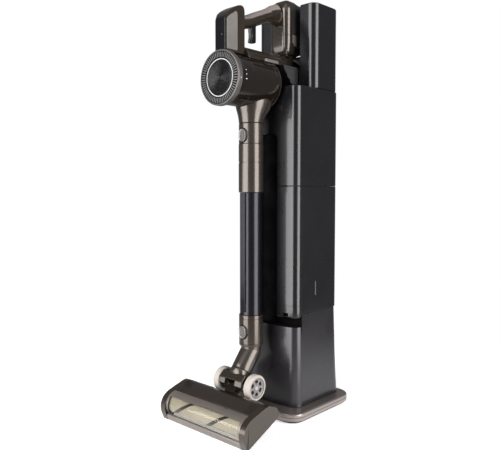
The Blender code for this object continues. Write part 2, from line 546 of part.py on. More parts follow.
latch_middle = -0.092
latch_x = (BARREL_RADIUS + LATCH_OFF) * math.sin(LATCH_ANGLE)
latch_z = BARREL_HEIGHT + (BARREL_RADIUS + LATCH_OFF) * math.cos(LATCH_ANGLE)
latch = block("bin_latch", (latch_x, latch_middle - LATCH_LENGTH / 2, latch_z),
              (latch_x + 0.0055, latch_middle + LATCH_LENGTH / 2, latch_z + 0.006), CHARCOAL, 0.0015,
              along=1,
              steps=2)
latch_point = (latch_x, latch_middle, latch_z)
hang(pivot("bin_latch_slide", latch_point), latch_point, latch)


# ---- wand: funnel, collars, tube and release buttons ----

wand_axis = (0, WAND_PLACE, 0)
funnel = turned("intake_funnel", [(0.038, 0.672), (0.036, 0.650), (0.028, 0.625),
                                  (COLLAR_RADIUS, FUNNEL_LOW + GAP),
                                  (WAND_BORE, FUNNEL_LOW + GAP), (WAND_BORE, 0.672)],
                wand_axis, Z_AXIS, GUNMETAL, 32, True)
cut(funnel, rod("barrel_room", BARREL_RADIUS + GAP, -0.3, 0.1, barrel_axis, Y_AXIS, GUNMETAL, 48))


def collar(name, low, high, radius, material, button=None):
    """A wand collar with softened rims and, where it has one, the pocket of its release button."""
    rim = 0.0012
    piece = turned(name, [(radius - rim, high - GAP), (radius, high - GAP - rim), (radius, low + rim),
                          (radius - rim, low),
                          (WAND_BORE, low), (WAND_BORE, high - GAP)], wand_axis, Z_AXIS, material, 32,
                   True)
    if button:
        cut(piece, block(f"{name}_pocket", (-BUTTON_HALF - GAP, -0.2, button - BUTTON_HEIGHT / 2 - GAP),
                         (BUTTON_HALF + GAP, WAND_PLACE - WAND_BORE - 0.0012,
                          button + BUTTON_HEIGHT / 2 + GAP),
                         material, 0.004, along=1, steps=3))
    return piece


def release_button(name, height, radius):
    """A sprung push button in the front of a collar."""
    front = WAND_PLACE - radius - BUTTON_PROUD
    back = WAND_PLACE - WAND_BORE - 0.0012 - BUTTON_TRAVEL - 0.0004
    button = block(name, (-BUTTON_HALF, front, height - BUTTON_HEIGHT / 2),
                   (BUTTON_HALF, back, height + BUTTON_HEIGHT / 2),
                   SILVER, 0.004, along=1, steps=3, edge=0.0008)
    point = (0, front, height)
    hang(pivot(f"{name}_slide", point), point, button)


collar("upper_collar", UPPER_LOW, FUNNEL_LOW, COLLAR_RADIUS, GUNMETAL, UPPER_BUTTON)
collar("wand_collar", TUBE_TOP, UPPER_LOW, COLLAR_RADIUS + 0.0005, GUNMETAL)
collar("lower_collar", COLLAR_LOW, TUBE_LOW, COLLAR_RADIUS, GUNMETAL, LOWER_BUTTON)
release_button("wand_button", UPPER_BUTTON, COLLAR_RADIUS)
release_button("head_button", LOWER_BUTTON, COLLAR_RADIUS)
tube("wand_tube", WAND_RADIUS, WAND_BORE, TUBE_LOW, TUBE_TOP - GAP, wand_axis, Z_AXIS, BLACK, 40)
rib_back, rib_front, rib_low = WAND_PLACE - WAND_RADIUS - GAP, WAND_PLACE - WAND_RADIUS - 0.0035, 0.222
outline("wand_rib", [[(rib_back, TUBE_TOP - GAP), (rib_front, TUBE_TOP - GAP),
                      (rib_front, rib_low + 0.031),
                      (rib_back - 0.0008, rib_low), (rib_back, rib_low)]], -0.0065, 0.0065, BLACK)

seam = (AXLE_PLACE + SEAM_OFFSET, AXLE_HEIGHT + SEAM_RISE)
lean_y, lean_z = NECK_AXIS[1], NECK_AXIS[2]
elbow_end = (seam[0] - GAP * lean_y, seam[1] - GAP * lean_z)
turn_reach = (ELBOW_TURN - elbow_end[1]) / -lean_z
route = [(WAND_PLACE, COLLAR_LOW - GAP), (WAND_PLACE, ELBOW_TURN + 0.004)]
route += [(elbow_end[0] - reach * lean_y, elbow_end[1] - reach * lean_z) for reach in (turn_reach - 0.007,
                                                                                       turn_reach / 2, 0)]
elbow = bar("elbow", route, NECK_RADIUS, GUNMETAL, 4)
below_seam = rod("below_seam", 0.05, 0, 0.05, (0, *elbow_end), NECK_AXIS, GUNMETAL)
above_collar = rod("above_elbow", 0.05, COLLAR_LOW - GAP, 0.25, wand_axis, Z_AXIS, GUNMETAL)
cut(elbow, below_seam, above_collar)


# ---- neck and wheels ----

axle_point = (0, AXLE_PLACE, AXLE_HEIGHT)
neck_pivot = pivot("neck_swivel", (0, *seam))
side_y, side_z = lean_z * NECK_RADIUS, -lean_y * NECK_RADIUS
seam_far = (seam[0] + GAP * lean_y, seam[1] + GAP * lean_z)


def from_axle(across, up):
    return AXLE_PLACE + across, AXLE_HEIGHT + up


yoke = outline("yoke", [[(seam_far[0] + side_y, seam_far[1] + side_z), from_axle(-0.0255, 0.0150),
                         from_axle(-0.0120, 0.0),
                         *arc((AXLE_PLACE, AXLE_HEIGHT), 0.0120, 195, 345, 6), from_axle(0.0125, 0.0),
                         (seam_far[0] - side_y, seam_far[1] - side_z)]], -YOKE_HALF, YOKE_HALF, GUNMETAL)
cut(yoke,
    block("yoke_slot", (-YOKE_SLOT, AXLE_PLACE - 0.1, AXLE_HEIGHT - 0.1),
          (YOKE_SLOT, AXLE_PLACE + 0.1, AXLE_HEIGHT + 0.0125),
          GUNMETAL),
    rod("yoke_bore", AXLE_RADIUS + GAP, -0.1, 0.1, axle_point, X_AXIS, GUNMETAL, 24))
axle_end = WHEEL_OUTER - 0.002
axle = rod("axle_pin", AXLE_RADIUS, -axle_end, axle_end, axle_point, X_AXIS, STEEL, 24)
hang(neck_pivot, (0, *seam), yoke, axle)

hub_radius = WHEEL_RADIUS - TYRE_DEPTH
for side, word in ((-1, "left"), (1, "right")):
    middle = side * (WHEEL_INNER + WHEEL_OUTER) / 2
    half = (WHEEL_OUTER - WHEEL_INNER) / 2
    tread = 0.003
    tyre = turned(f"tyre_{word}", [(hub_radius + GAP, half), (WHEEL_RADIUS - tread, half),
                                   (WHEEL_RADIUS - 0.0008, half - 0.0012),
                                   (WHEEL_RADIUS, half - tread), (WHEEL_RADIUS, tread - half),
                                   (WHEEL_RADIUS - 0.0008, 0.0012 - half), (WHEEL_RADIUS - tread, -half),
                                   (hub_radius + GAP, -half)], (middle, *axle_point[1:]), X_AXIS, CREAM,
                  32, True)
    face = half - 0.0015
    hub = turned(f"hub_{word}", [(AXLE_RADIUS + GAP, face), (0.008, face), (0.010, face - 0.002),
                                 (hub_radius - 0.002, face - 0.002),
                                 (hub_radius, face), (hub_radius, -face),
                                 (hub_radius - 0.002, 0.002 - face),
                                 (0.010, 0.002 - face), (0.008, -face), (AXLE_RADIUS + GAP, -face)],
                 (middle, *axle_point[1:]), X_AXIS, HUB, 28, True)
    wheel_pivot = pivot(f"wheel_{word}_spin", axle_point)
    hang(wheel_pivot, axle_point, tyre, hub)


# ---- floor head: everything is placed from the axle, level, and the pivot leans it ----

head = pivot("head_pitch", axle_point, HEAD_LEAN)
roller_point = (ROLLER_PLACE, ROLLER_HEIGHT)
room_radius = ROLLER_RADIUS + ROLLER_ROOM
window_radius = room_radius + WINDOW_THICK
cap_inner = HEAD_HALF - END_CAP_WIDTH
cover_front, head_rear = -0.084, -0.0235
cover_top = ROLLER_HEIGHT + window_radius * math.sin(math.radians(66)) + 0.0005

shell = outline("head_cover", [[(head_rear - 0.0065, HEAD_BOTTOM + 0.002), (head_rear, -0.0146),
                                (head_rear - 0.0055, -0.0020),
                                (-0.0410, 0.0090), (-0.0600, 0.0125), (cover_front, cover_top),
                                *arc(roller_point, room_radius, 64, -62, 10),
                                (ROLLER_PLACE + 0.0125, HEAD_BOTTOM + 0.002)]],
                -cap_inner + GAP, cap_inner - GAP, GUNMETAL, on=head)
cut(shell,
    block("head_motor_room", (-cap_inner + 0.008, HEAD_MOTOR_PLACE - 0.0125, -0.1),
          (0.2, HEAD_MOTOR_PLACE + 0.0125, HEAD_MOTOR_HEIGHT + 0.0130), GUNMETAL, on=head),
    rod("yoke_room", HEAD_SWING, -WHEEL_OUTER - 0.003, WHEEL_OUTER + 0.003, (0, 0, 0), X_AXIS, GUNMETAL,
        40, on=head))

outline("head_window", [[*arc(roller_point, window_radius, 68, 196, 12),
                         *arc(roller_point, room_radius, 196, 68, 12)]],
        -cap_inner + GAP, cap_inner - GAP, CLEAR, on=head)
outline("front_lip", [[(HEAD_FRONT, HEAD_BOTTOM + 0.0008), (HEAD_FRONT, -0.0190),
                       (HEAD_FRONT + 0.003, -0.0155),
                       *arc(roller_point, window_radius + GAP, 200, 222, 3),
                       (HEAD_FRONT + 0.013, HEAD_BOTTOM),
                       (HEAD_FRONT + 0.0008, HEAD_BOTTOM)]],
        -cap_inner + GAP, cap_inner - GAP, GUNMETAL, on=head)

end_outline = [(head_rear - 0.0065, HEAD_BOTTOM + 0.001), (head_rear, -0.0146),
               (head_rear - 0.0055, -0.0010),
               (-0.0410, 0.0105), (-0.0600, 0.0140), (cover_front, cover_top + 0.0015),
               (-0.1010, cover_top + 0.0010),
               (-0.1130, 0.0105), (-0.1200, 0.0020), (HEAD_FRONT, -0.0100),
               (HEAD_FRONT, HEAD_BOTTOM + 0.0008),
               (HEAD_FRONT + 0.0008, HEAD_BOTTOM)]
shaft = 0.003
for side, word in ((-1, "left"), (1, "right")):
    near, far = sorted((side * cap_inner, side * HEAD_HALF))
    end_cap = outline(f"end_cap_{word}", [end_outline], near, far, GUNMETAL, on=head)
    cut(end_cap, rod(f"shaft_hole_{word}", shaft + GAP, side * cap_inner - 0.009,
                     side * cap_inner + 0.009,
                     (0, *roller_point), X_AXIS, GUNMETAL, 16, on=head))
belt_low = cap_inner + 0.0008
cut(end_cap,
    block("belt_room", (0, ROLLER_PLACE - 0.0115, HEAD_MOTOR_HEIGHT - 0.0100),
          (belt_low + BELT_WIDTH + 0.0007, HEAD_MOTOR_PLACE + 0.0085, ROLLER_HEIGHT + 0.0110), GUNMETAL,
          on=head))

turned("brush_roller", [(0, cap_inner + 0.0075), (shaft, cap_inner + 0.0075),
                        (shaft, belt_low + BELT_WIDTH),
                        (ROLLER_PULLEY, belt_low + BELT_WIDTH), (ROLLER_PULLEY, belt_low),
                        (shaft, belt_low),
                        (shaft, cap_inner - 0.0015), (ROLLER_RADIUS - 0.001, cap_inner - 0.0015),
                        (ROLLER_RADIUS, cap_inner - 0.0025), (ROLLER_RADIUS, 0.0025 - cap_inner),
                        (ROLLER_RADIUS - 0.001, 0.0015 - cap_inner), (shaft, 0.0015 - cap_inner),
                        (shaft, -cap_inner - 0.0075), (0, -cap_inner - 0.0075)],
       (0, *roller_point), X_AXIS, BRUSH, 28, on=head)

motor_point = (HEAD_MOTOR_PLACE, HEAD_MOTOR_HEIGHT)
brush_motor = rod("brush_motor", HEAD_MOTOR_RADIUS, 0.030, cap_inner - 0.003, (0, *motor_point), X_AXIS,
                  STEEL, 28, on=head)
cut(brush_motor, rod("brush_motor_bore", 0.0015 + GAP, 0.080, 0.2, (0, *motor_point), X_AXIS, STEEL, 12,
                     on=head))
turned("motor_pulley", [(0, belt_low + BELT_WIDTH), (MOTOR_PULLEY, belt_low + BELT_WIDTH),
                        (MOTOR_PULLEY, belt_low),
                        (0.0015, belt_low), (0.0015, 0.085), (0, 0.085)], (0, *motor_point), X_AXIS,
       STEEL, 24, on=head)
belt_run = Vector(motor_point) - Vector(roller_point)
belt_angle = math.degrees(math.atan2(belt_run.y, belt_run.x))
belt_wrap = math.degrees(math.acos((ROLLER_PULLEY - MOTOR_PULLEY) / belt_run.length))


def belt_loop(clearance):
    """The belt's path round both pulleys, at a distance from them."""
    loop = arc(motor_point, MOTOR_PULLEY + clearance, belt_angle - belt_wrap, belt_angle + belt_wrap, 8)
    return loop + arc(roller_point, ROLLER_PULLEY + clearance, belt_angle + belt_wrap,
                      belt_angle + 360 - belt_wrap, 14)


outline("drive_belt", [belt_loop(GAP + BELT_THICK), belt_loop(GAP)], belt_low, belt_low + BELT_WIDTH,
        RUBBER, on=head)

knuckle = outline("head_knuckle", [[*arc((0, 0), 0.0085, 80, -80, 8), (-HEAD_SWING * 0.80, -0.0085),
                                    *arc((0, 0), HEAD_SWING - GAP, 196, 174, 4), (-0.010, 0.0060)]],
                  -YOKE_SLOT + GAP * 2, YOKE_SLOT - GAP * 2, GUNMETAL, on=head)
cut(knuckle, rod("knuckle_bore", AXLE_RADIUS + GAP, -0.1, 0.1, (0, 0, 0), X_AXIS, GUNMETAL, 24, on=head))
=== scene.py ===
import math

import bmesh
import bpy
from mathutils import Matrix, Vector


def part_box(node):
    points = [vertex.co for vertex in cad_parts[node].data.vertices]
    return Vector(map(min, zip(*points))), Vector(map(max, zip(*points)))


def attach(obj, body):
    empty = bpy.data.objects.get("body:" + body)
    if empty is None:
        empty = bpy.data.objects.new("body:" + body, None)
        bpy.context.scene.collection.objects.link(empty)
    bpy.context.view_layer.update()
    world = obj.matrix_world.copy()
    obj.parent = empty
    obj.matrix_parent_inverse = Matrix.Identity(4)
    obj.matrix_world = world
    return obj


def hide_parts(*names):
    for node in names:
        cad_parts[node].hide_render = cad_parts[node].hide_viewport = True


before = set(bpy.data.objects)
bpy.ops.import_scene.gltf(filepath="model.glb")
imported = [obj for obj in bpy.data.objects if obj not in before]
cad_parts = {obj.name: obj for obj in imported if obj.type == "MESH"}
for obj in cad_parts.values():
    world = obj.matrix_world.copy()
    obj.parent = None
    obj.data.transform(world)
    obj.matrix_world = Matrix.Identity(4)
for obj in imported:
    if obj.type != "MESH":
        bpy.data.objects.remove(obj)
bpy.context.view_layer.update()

scene = bpy.context.scene

# ---- Studio: floor ----
# A round sheet of matt white paper under the dock, lit so evenly that it runs out into the white behind.
# Its fibres show only very close to.
bpy.ops.object.select_all(action="DESELECT")
bpy.ops.mesh.primitive_circle_add(vertices=64, radius=3.0, fill_type="NGON", location=(0, 0, -0.0006))
paper = bpy.context.object
bpy.ops.object.mode_set(mode="EDIT")
bpy.ops.mesh.inset(thickness=1.2)
bpy.ops.object.mode_set(mode="OBJECT")
bpy.ops.object.transform_apply()
paper.name = "floor_paper"


def add(nodes, kind, **inputs):
    """A new shader node with some of its inputs set; the spaces in an input's name are written as underscores."""
    made = nodes.new("ShaderNode" + kind)
    for name, value in inputs.items():
        made.inputs[name.replace("_", " ")].default_value = value
    return made


def two_colours(nodes, first, second):
    """A node that mixes two colours."""
    mix = nodes.new("ShaderNodeMix")
    mix.data_type = "RGBA"
    mix.inputs[6].default_value, mix.inputs[7].default_value = (*first, 1), (*second, 1)
    return mix


def wire(links, *joins):
    """Joins nodes, each from an output of one to an input of another."""
    for source, output, target, socket in joins:
        links.new(source.outputs[output], target.inputs[socket])


matt_paper = bpy.data.materials.new("matt_paper")
matt_paper.use_nodes = True
nodes, links = matt_paper.node_tree.nodes, matt_paper.node_tree.links
paper_shader, paper_output = nodes["Principled BSDF"], nodes["Material Output"]
place, clear, blend = (add(nodes, kind) for kind in ("TexCoord", "BsdfTransparent", "MixShader"))
fibre = add(nodes, "TexNoise", Scale=900)
tone = two_colours(nodes, (0.93, 0.93, 0.93), (0.96, 0.96, 0.96))
tooth = add(nodes, "Bump", Distance=0.00005)
reach = add(nodes, "VectorMath")
reach.operation = "LENGTH"
fade = add(nodes, "MapRange", From_Min=0.22, From_Max=0.95)
fade.interpolation_type = "SMOOTHSTEP"
wire(links, (place, "Object", fibre, "Vector"), (place, "Object", reach, 0),
    (reach, "Value", fade, "Value"), (fibre, "Fac", tone, 0), (tone, 2, paper_shader, "Base Color"),
    (fibre, "Fac", tooth, "Height"), (tooth, "Normal", paper_shader, "Normal"), (fade, "Result", blend, 0),
    (paper_shader, 0, blend, 1), (clear, 0, blend, 2), (blend, 0, paper_output, "Surface"))
paper_shader.inputs["Roughness"].default_value = 0.85
paper_shader.inputs["Emission Color"].default_value = (1, 1, 1, 1)
paper_shader.inputs["Emission Strength"].default_value = 0.42
paper.data.materials.append(matt_paper)

# ---- Studio: camera and lights ----
# A short telephoto view from the front right corner, a little above the middle of the machine.
# Two tall softboxes stand at equal angles beside the camera and draw the paired upright highlights.
camera_data = bpy.data.cameras.new("camera")
camera_data.lens = 42.48
camera = bpy.data.objects.new("camera", camera_data)
scene.collection.objects.link(camera)
camera.location = (0.831, -1.007, 0.473)
camera.rotation_euler = (math.radians(90 - 3.4), 0, math.radians(43))
scene.camera = camera


def softbox(name, bearing, distance, width, height, middle, watts, tint=(1.0, 0.995, 0.985)):
    """A tall soft light at a bearing from the front, turned to face the machine."""
    light = bpy.data.lights.new(name, "AREA")
    light.shape = "RECTANGLE"
    light.size, light.size_y, light.energy, light.color = width, height, watts, tint
    lamp = bpy.data.objects.new(name, light)
    scene.collection.objects.link(lamp)
    angle = math.radians(bearing)
    lamp.location = (distance * math.sin(angle), -distance * math.cos(angle), middle)
    lamp.rotation_euler = (Vector((0, 0, middle - 0.1)) - lamp.location).to_track_quat("-Z", "Y").to_euler()


softbox("softbox_left", -9, 1.9, 1.50, 2.3, 0.75, 82)
softbox("softbox_right", 94, 1.9, 1.30, 2.3, 0.75, 76)
softbox("fill_low", -36, 2.2, 0.40, 0.70, 0.28, 5)
softbox("fill_top", 30, 1.2, 1.6, 1.6, 2.2, 8)
scene.view_settings.view_transform = "Standard"
world = bpy.data.worlds.new("studio")
scene.world = world
world.use_nodes = True
nodes, links = world.node_tree.nodes, world.node_tree.links
rays = add(nodes, "LightPath")
wall = two_colours(nodes, (0.20, 0.20, 0.205), (1.0, 1.0, 1.0))
wire(links, (rays, "Is Camera Ray", wall, 0), (wall, 2, nodes["Background"], "Color"))

# ---- Dock: base plate and sole ----
# The foot is a die-cast plate under satin mauve-grey metallic paint, with a shadow line round its rim.
# A rubber sole screwed up from below grips the floor.


def paint_nodes(name, dark, light, rough, metallic=0.0, grain=260.0, spread=14.0, bump=0.00004, coat=0.0,
        stretch=(1, 1, 1)):
    """Paint or moulded plastic: two close shades drifting over the part, a fine grain, and uneven gloss."""
    material = bpy.data.materials.new(name)
    material.use_nodes = True
    nodes, links = material.node_tree.nodes, material.node_tree.links
    shader = nodes["Principled BSDF"]
    place = add(nodes, "TexCoord")
    frame_map = add(nodes, "Mapping", Scale=stretch)
    drift = add(nodes, "TexNoise", Scale=spread, Detail=5)
    fine = add(nodes, "TexNoise", Scale=grain * 4, Detail=3)
    shade = two_colours(nodes, *[[(part / 255) ** 2.2 for part in colour] for colour in (dark, light)])
    both = add(nodes, "Math")
    both.operation = "MULTIPLY_ADD"
    both.inputs[1].default_value = 0.35
    gloss = add(nodes, "MapRange", From_Min=0.3, From_Max=0.7, To_Min=rough * 0.82, To_Max=rough * 1.2)
    skin = add(nodes, "Bump", Distance=bump, Strength=0.5)
    wire(links, (place, "Object", frame_map, "Vector"), (frame_map, "Vector", drift, "Vector"),
        (frame_map, "Vector", fine, "Vector"), (fine, "Fac", both, 0), (drift, "Fac", both, 2),
        (both, "Value", shade, 0), (shade, 2, shader, "Base Color"), (drift, "Fac", gloss, "Value"),
        (gloss, "Result", shader, "Roughness"), (fine, "Fac", skin, "Height"),
        (skin, "Normal", shader, "Normal"))
    shader.inputs["Metallic"].default_value = metallic
    shader.inputs["Coat Weight"].default_value = coat
    shader.inputs["Coat Roughness"].default_value = 0.08
    return material


def set_sockets(material, **inputs):
    """Sets values on a material's own shader; the spaces in a socket's name are written as underscores."""
    for name, value in inputs.items():
        material.node_tree.nodes["Principled BSDF"].inputs[name.replace("_", " ")].default_value = value


def close_edit():
    """Ends the edit of a piece with all its faces pointing outwards."""
    if bpy.context.mode == "EDIT_MESH":
        bpy.ops.mesh.select_all(action="SELECT")
        bpy.ops.mesh.normals_make_consistent(inside=False)
        bpy.ops.object.mode_set(mode="OBJECT")


def clear_bench():
    """Ends any edit and deselects everything, so that a new primitive stands alone."""
    close_edit()
    bpy.ops.object.select_all(action="DESELECT")


def only(piece):
    """Makes a piece the only one selected, out of edit mode."""
    clear_bench()
    bpy.context.view_layer.objects.active = piece
    piece.select_set(True)


def settle(piece):
    """Ends the edit of a piece and puts its place into its mesh."""
    only(piece)
    bpy.ops.object.transform_apply()
    return piece


def footprint(low, high, radius=0.0, steps=12, rounded=lambda corner: True):
    """Opens a new flat outline between two corners for editing, with the chosen corners rounded."""
    clear_bench()
    bpy.ops.mesh.primitive_plane_add(size=1, location=((low[0] + high[0]) / 2, (low[1] + high[1]) / 2,
        low[2]))
    bpy.ops.object.mode_set(mode="EDIT")
    bpy.ops.transform.resize(value=(high[0] - low[0], high[1] - low[1], 1))
    piece = bpy.context.object
    if radius:
        pick(lambda corner: rounded(piece.matrix_world @ corner.co), "VERT")
        bpy.ops.mesh.bevel(offset=radius, segments=steps, affect="VERTICES")
    bpy.ops.mesh.select_all(action="SELECT")
    return piece


def pick(test, kind="FACE"):
    """Selects the corners, edges or faces that pass a test, and nothing else."""
    bpy.ops.mesh.select_mode(type=kind)
    bpy.ops.mesh.select_all(action="DESELECT")
    mesh = bpy.context.object.data
    shape = bmesh.from_edit_mesh(mesh)
    for item in {"VERT": shape.verts, "EDGE": shape.edges, "FACE": shape.faces}[kind]:
        item.select = bool(test(item))
    shape.select_flush_mode()
    bmesh.update_edit_mesh(mesh)


def centre_of(face):
    """The middle of a face in edit mode."""
    return face.calc_center_median()


def raise_layers(layers):
    """Extrudes the open outline upwards, layer by layer: each has its height and how far its sides stand in."""
    piece = bpy.context.object
    turn = piece.matrix_world
    points = [turn @ v.co for v in bmesh.from_edit_mesh(piece.data).verts]
    centre = Vector([(min(p[i] for p in points) + max(p[i] for p in points)) / 2 for i in range(3)])
    half = [(max(p[i] for p in points) - min(p[i] for p in points)) / 2 for i in range(2)]
    height, inset = centre.z, 0.0
    first = True
    for new_height, new_inset in layers:
        if not first or new_height != height:
            bpy.ops.mesh.extrude_region_move(TRANSFORM_OT_translate={"value": (0, 0, new_height - height)})
        first = False
        factors = [(side - new_inset) / (side - inset) for side in half]
        bpy.ops.transform.resize(value=(*factors, 1), center_override=(centre.x, centre.y, new_height))
        height, inset = new_height, new_inset


def soften(piece, width, segments=3, angle=30):
    """Closes the edit and rounds the sharp edges of the piece."""
    settle(piece)
    rim = piece.modifiers.new("rim", "BEVEL")
    rim.width, rim.segments, rim.limit_method, rim.angle_limit = width, segments, "ANGLE", math.radians(angle)
    rim.harden_normals = False
    bpy.ops.object.modifier_apply(modifier="rim")
    return piece


def complete(piece, name, material, body, slot, *cad_nodes, smooth=38):
    """Closes the edit, names the piece, gives it its finish and fixes it to the body that carries it."""
    settle(piece)
    bpy.ops.object.shade_smooth_by_angle(angle=math.radians(smooth))
    even = piece.modifiers.new("even", "WEIGHTED_NORMAL")
    even.keep_sharp = True
    bpy.ops.object.modifier_apply(modifier="even")
    piece.name = piece.data.name = name
    if material not in list(piece.data.materials):
        piece.data.materials.clear()
        piece.data.materials.append(material)
    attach(piece, body)
    if cad_nodes:
        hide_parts(*cad_nodes)
    return piece


def second_finish(piece, first, second, test):
    """Gives the piece its main finish, and the faces that pass a test a second one."""
    settle(piece)
    piece.data.materials.append(first)
    piece.data.materials.append(second)
    bpy.ops.object.mode_set(mode="EDIT")
    pick(test)
    piece.active_material_index = 1
    bpy.ops.object.material_slot_assign()
    close_edit()


def finish_nodes(material, *names):
    """Gives CAD solids that show as they are the finish of the real parts."""
    for name in names:
        for material_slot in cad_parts[name].material_slots:
            material_slot.material = material


mauve_metallic = paint_nodes("mauve_metallic_paint", (117, 110, 107), (139, 131, 127), 0.30, 0.75, 900, 9,
    0.00002, 0.15)
low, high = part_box("base_plate")
plate = footprint(low, high, 0.032, 24)
raise_layers([(low.z, 0.0012), (low.z + 0.0012, 0), (low.z + 0.0072, 0), (low.z + 0.0078, 0.0009),
    (low.z + 0.0086, 0.0009), (low.z + 0.0092, 0), (high.z - 0.0030, 0), (high.z - 0.0012, 0.0008),
    (high.z - 0.0002, 0.0026), (high.z, 0.0048)])
complete(plate, "base_casting", mauve_metallic, "dock", "base_metallic", "base_plate", smooth=50)
rubber = paint_nodes("black_rubber", (24, 24, 24), (38, 37, 36), 0.85, 0.0, 500, 30, 0.0001)
finish_nodes(rubber, "sole")

# ---- Dock: lower housing ----
# The widest moulding, which holds the suction fan; it flares to the foot and is cut back under the bag door.
# It is moulded in two halves in satin grey, screwed to the plate from below.


def carve(piece, *tools):
    """Cuts the tools out of a piece with Booleans, and removes them."""
    for tool in tools:
        only(piece)
        cutter = piece.modifiers.new("cutter", "BOOLEAN")
        cutter.operation, cutter.object, cutter.solver = "DIFFERENCE", tool, "EXACT"
        bpy.ops.object.modifier_apply(modifier="cutter")
        bpy.data.objects.remove(tool, do_unlink=True)
    return piece


def cutter_box(low, high, radius=0.0, steps=10, rounded=lambda corner: True):
    """A box to cut with, its upright edges rounded where asked."""
    tool = footprint(low, high, radius, steps, rounded)
    bpy.ops.mesh.extrude_region_move(TRANSFORM_OT_translate={"value": (0, 0, high[2] - low[2])})
    return settle(tool)


def trace(points, closed=False):
    """Draws a line through points in a new mesh, one extruded corner after another."""
    clear_bench()
    bpy.ops.mesh.primitive_plane_add(size=0.001, location=points[0])
    piece = bpy.context.object
    bpy.ops.object.mode_set(mode="EDIT")
    bpy.ops.mesh.select_mode(type="VERT")
    bpy.ops.mesh.select_all(action="SELECT")
    bpy.ops.mesh.merge(type="CENTER")
    for start, end in zip(points, points[1:]):
        bpy.ops.mesh.extrude_vertices_move(TRANSFORM_OT_translate={"value": Vector(end) - Vector(start)})
    bpy.ops.mesh.select_all(action="SELECT")
    if closed:
        bpy.ops.mesh.edge_face_add()
    return piece


crown_bow = 0.0034


def crowned(low, high, radius, rear_radius, bow=crown_bow, steps=14):
    """Opens an outline like footprint's whose front is gently crowned, falling back by the bow at its corners."""
    half = (high.x - low.x) / 2
    edge = half - radius
    lean = math.atan(2 * bow / edge)
    reach = edge + radius * math.sin(lean)
    right = [(reach * step / 12, low.y + bow * (step / 12) ** 2) for step in range(12)]
    for centre_y, size, start, turn in ((low.y + bow + radius * math.cos(lean), radius, lean,
            math.pi / 2 - lean), (high.y - rear_radius, rear_radius, math.pi / 2, math.pi / 2)):
        arc = [start + turn * step / steps for step in range(steps + 1 if size else 1)]
        right += [(half - size + size * math.sin(angle), centre_y - size * math.cos(angle))
            for angle in arc]
    left = [(-x, y) for x, y in right[:0:-1]]
    return trace([(x, y, low.z) for x, y in right + left], True)


wall, cavity_corner = 0.0025, 0.0135
# Near-black, matt and barely reflective: painted shade, laid on the faces of recesses, channels and wells where light
# falls off.
painted_shade_black = paint_nodes("painted_shade_black", (5, 5, 6), (9, 9, 10), 0.9, 0.0, 600, 25, 0.00008)
set_sockets(painted_shade_black, Specular_IOR_Level=0.1)
black_plastic = paint_nodes("black_plastic", (14, 14, 15), (24, 23, 24), 0.55, 0.0, 600, 25, 0.00008)
housing_satin = paint_nodes("housing_satin", (32, 31, 34), (48, 46, 49), 0.28, 0.5, 700, 7, 0.00003, 0.2)
low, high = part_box("lower_housing")
door_low, door_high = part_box("bag_door")
front, back, side = door_low.y, high.y - 0.0065, door_high.x
ledge = 0.187
housing = crowned(low, high, 0.0225, 0.0225)
raise_layers([(low.z, 0.0010), (low.z + 0.0008, 0.0001), (low.z + 0.004, 0.0004), (0.060, 0.0021),
    (0.100, 0.0035), (0.140, 0.0046), (0.170, 0.0055), (high.z, 0.0065)])
carve(housing, cutter_box((-0.2, -0.2, ledge), (0.2, door_high.y + 0.0003, 0.3)),
    cutter_box((-side + wall, front + wall + crown_bow, 0), (side - wall, back - wall, ledge - wall),
    cavity_corner), cutter_box((-side + wall, door_high.y + 0.0028, 0.1), (side - wall, back - wall, 0.3),
    cavity_corner, 10, lambda corner: corner.y > 0), cutter_box((-0.040, back - 0.012, 0.045),
    (0.040, 0.2, 0.105), 0.0), cutter_box((0.050, 0.06, 0.052), (0.066, 0.2, 0.068), 0.0))
soften(housing, 0.0010, 2, 40)
# The ledge top and back wall under the bag door are painted near-black: painted shade in the recess.
second_finish(housing, housing_satin, painted_shade_black, lambda face: centre_of(face).z > ledge - 0.0002
    and (face.normal.z > 0.5 or abs(centre_of(face).y - door_high.y) < 0.002))
complete(housing, "housing_shell", housing_satin, "dock", "housing_satin", "lower_housing")
pleated_filter = paint_nodes("pleated_filter", (206, 203, 194), (228, 226, 220), 0.92, 0.0, 420, 40, 0.0002,
    0, (1, 1, 5))
turned_steel = paint_nodes("turned_steel", (150, 150, 154), (186, 186, 190), 0.32, 1.0, 500, 30, 0.00003, 0,
    (1, 1, 9))
finish_nodes(black_plastic, "exhaust_grille", "power_inlet", "dock_fan")
finish_nodes(pleated_filter, "exhaust_filter")
finish_nodes(turned_steel, "fan_motor")

# ---- Dock: bag door ----
# A deep tray of satin charcoal plastic that pulls forward off its catches, with the wand's channel down its
# middle. Two notches in its foot take the fingertips, and its lower edge is drawn in to a dark lip.
charcoal_satin = paint_nodes("charcoal_satin", (20, 19, 22), (32, 31, 34), 0.27, 0.5, 800, 6, 0.00002, 0.4)
lip = 0.0016
door = crowned(door_low, door_high, 0.016, 0)
raise_layers([(door_low.z, 0.0022), (door_low.z + 0.0030, 0.0), (door_low.z + 0.0240, 0.0),
    (door_low.z + 0.0244, 0.0005), (door_low.z + 0.0252, 0.0005), (door_low.z + 0.0256, 0.0),
    (door_high.z - lip, 0.0), (door_high.z - 0.0004, 0.0005), (door_high.z, 0.0009)])
channel, channel_back = 0.031, door_low.y + 0.020


def in_channel(face):
    """Whether a face lines the wand's channel, which is painted matt near-black as shade."""
    middle = centre_of(face)
    return abs(middle.x) < channel + 0.0004 and door_low.y + 0.0008 < middle.y < channel_back + 0.0004


def on_side(hand, inner, outer):
    """Two places across the machine on its left (-1) or right (1) side, the lower one first."""
    return sorted((hand * inner, hand * outer))


def at_rear(corner):
    """Whether a corner of an outline is behind the middle of the dock."""
    return corner.y > 0


def at_outer_front(corner):
    """Whether a corner of an outline is at the dock's front, away from the wand's channel."""
    return corner.y < -0.05 and abs(corner.x) > 0.05


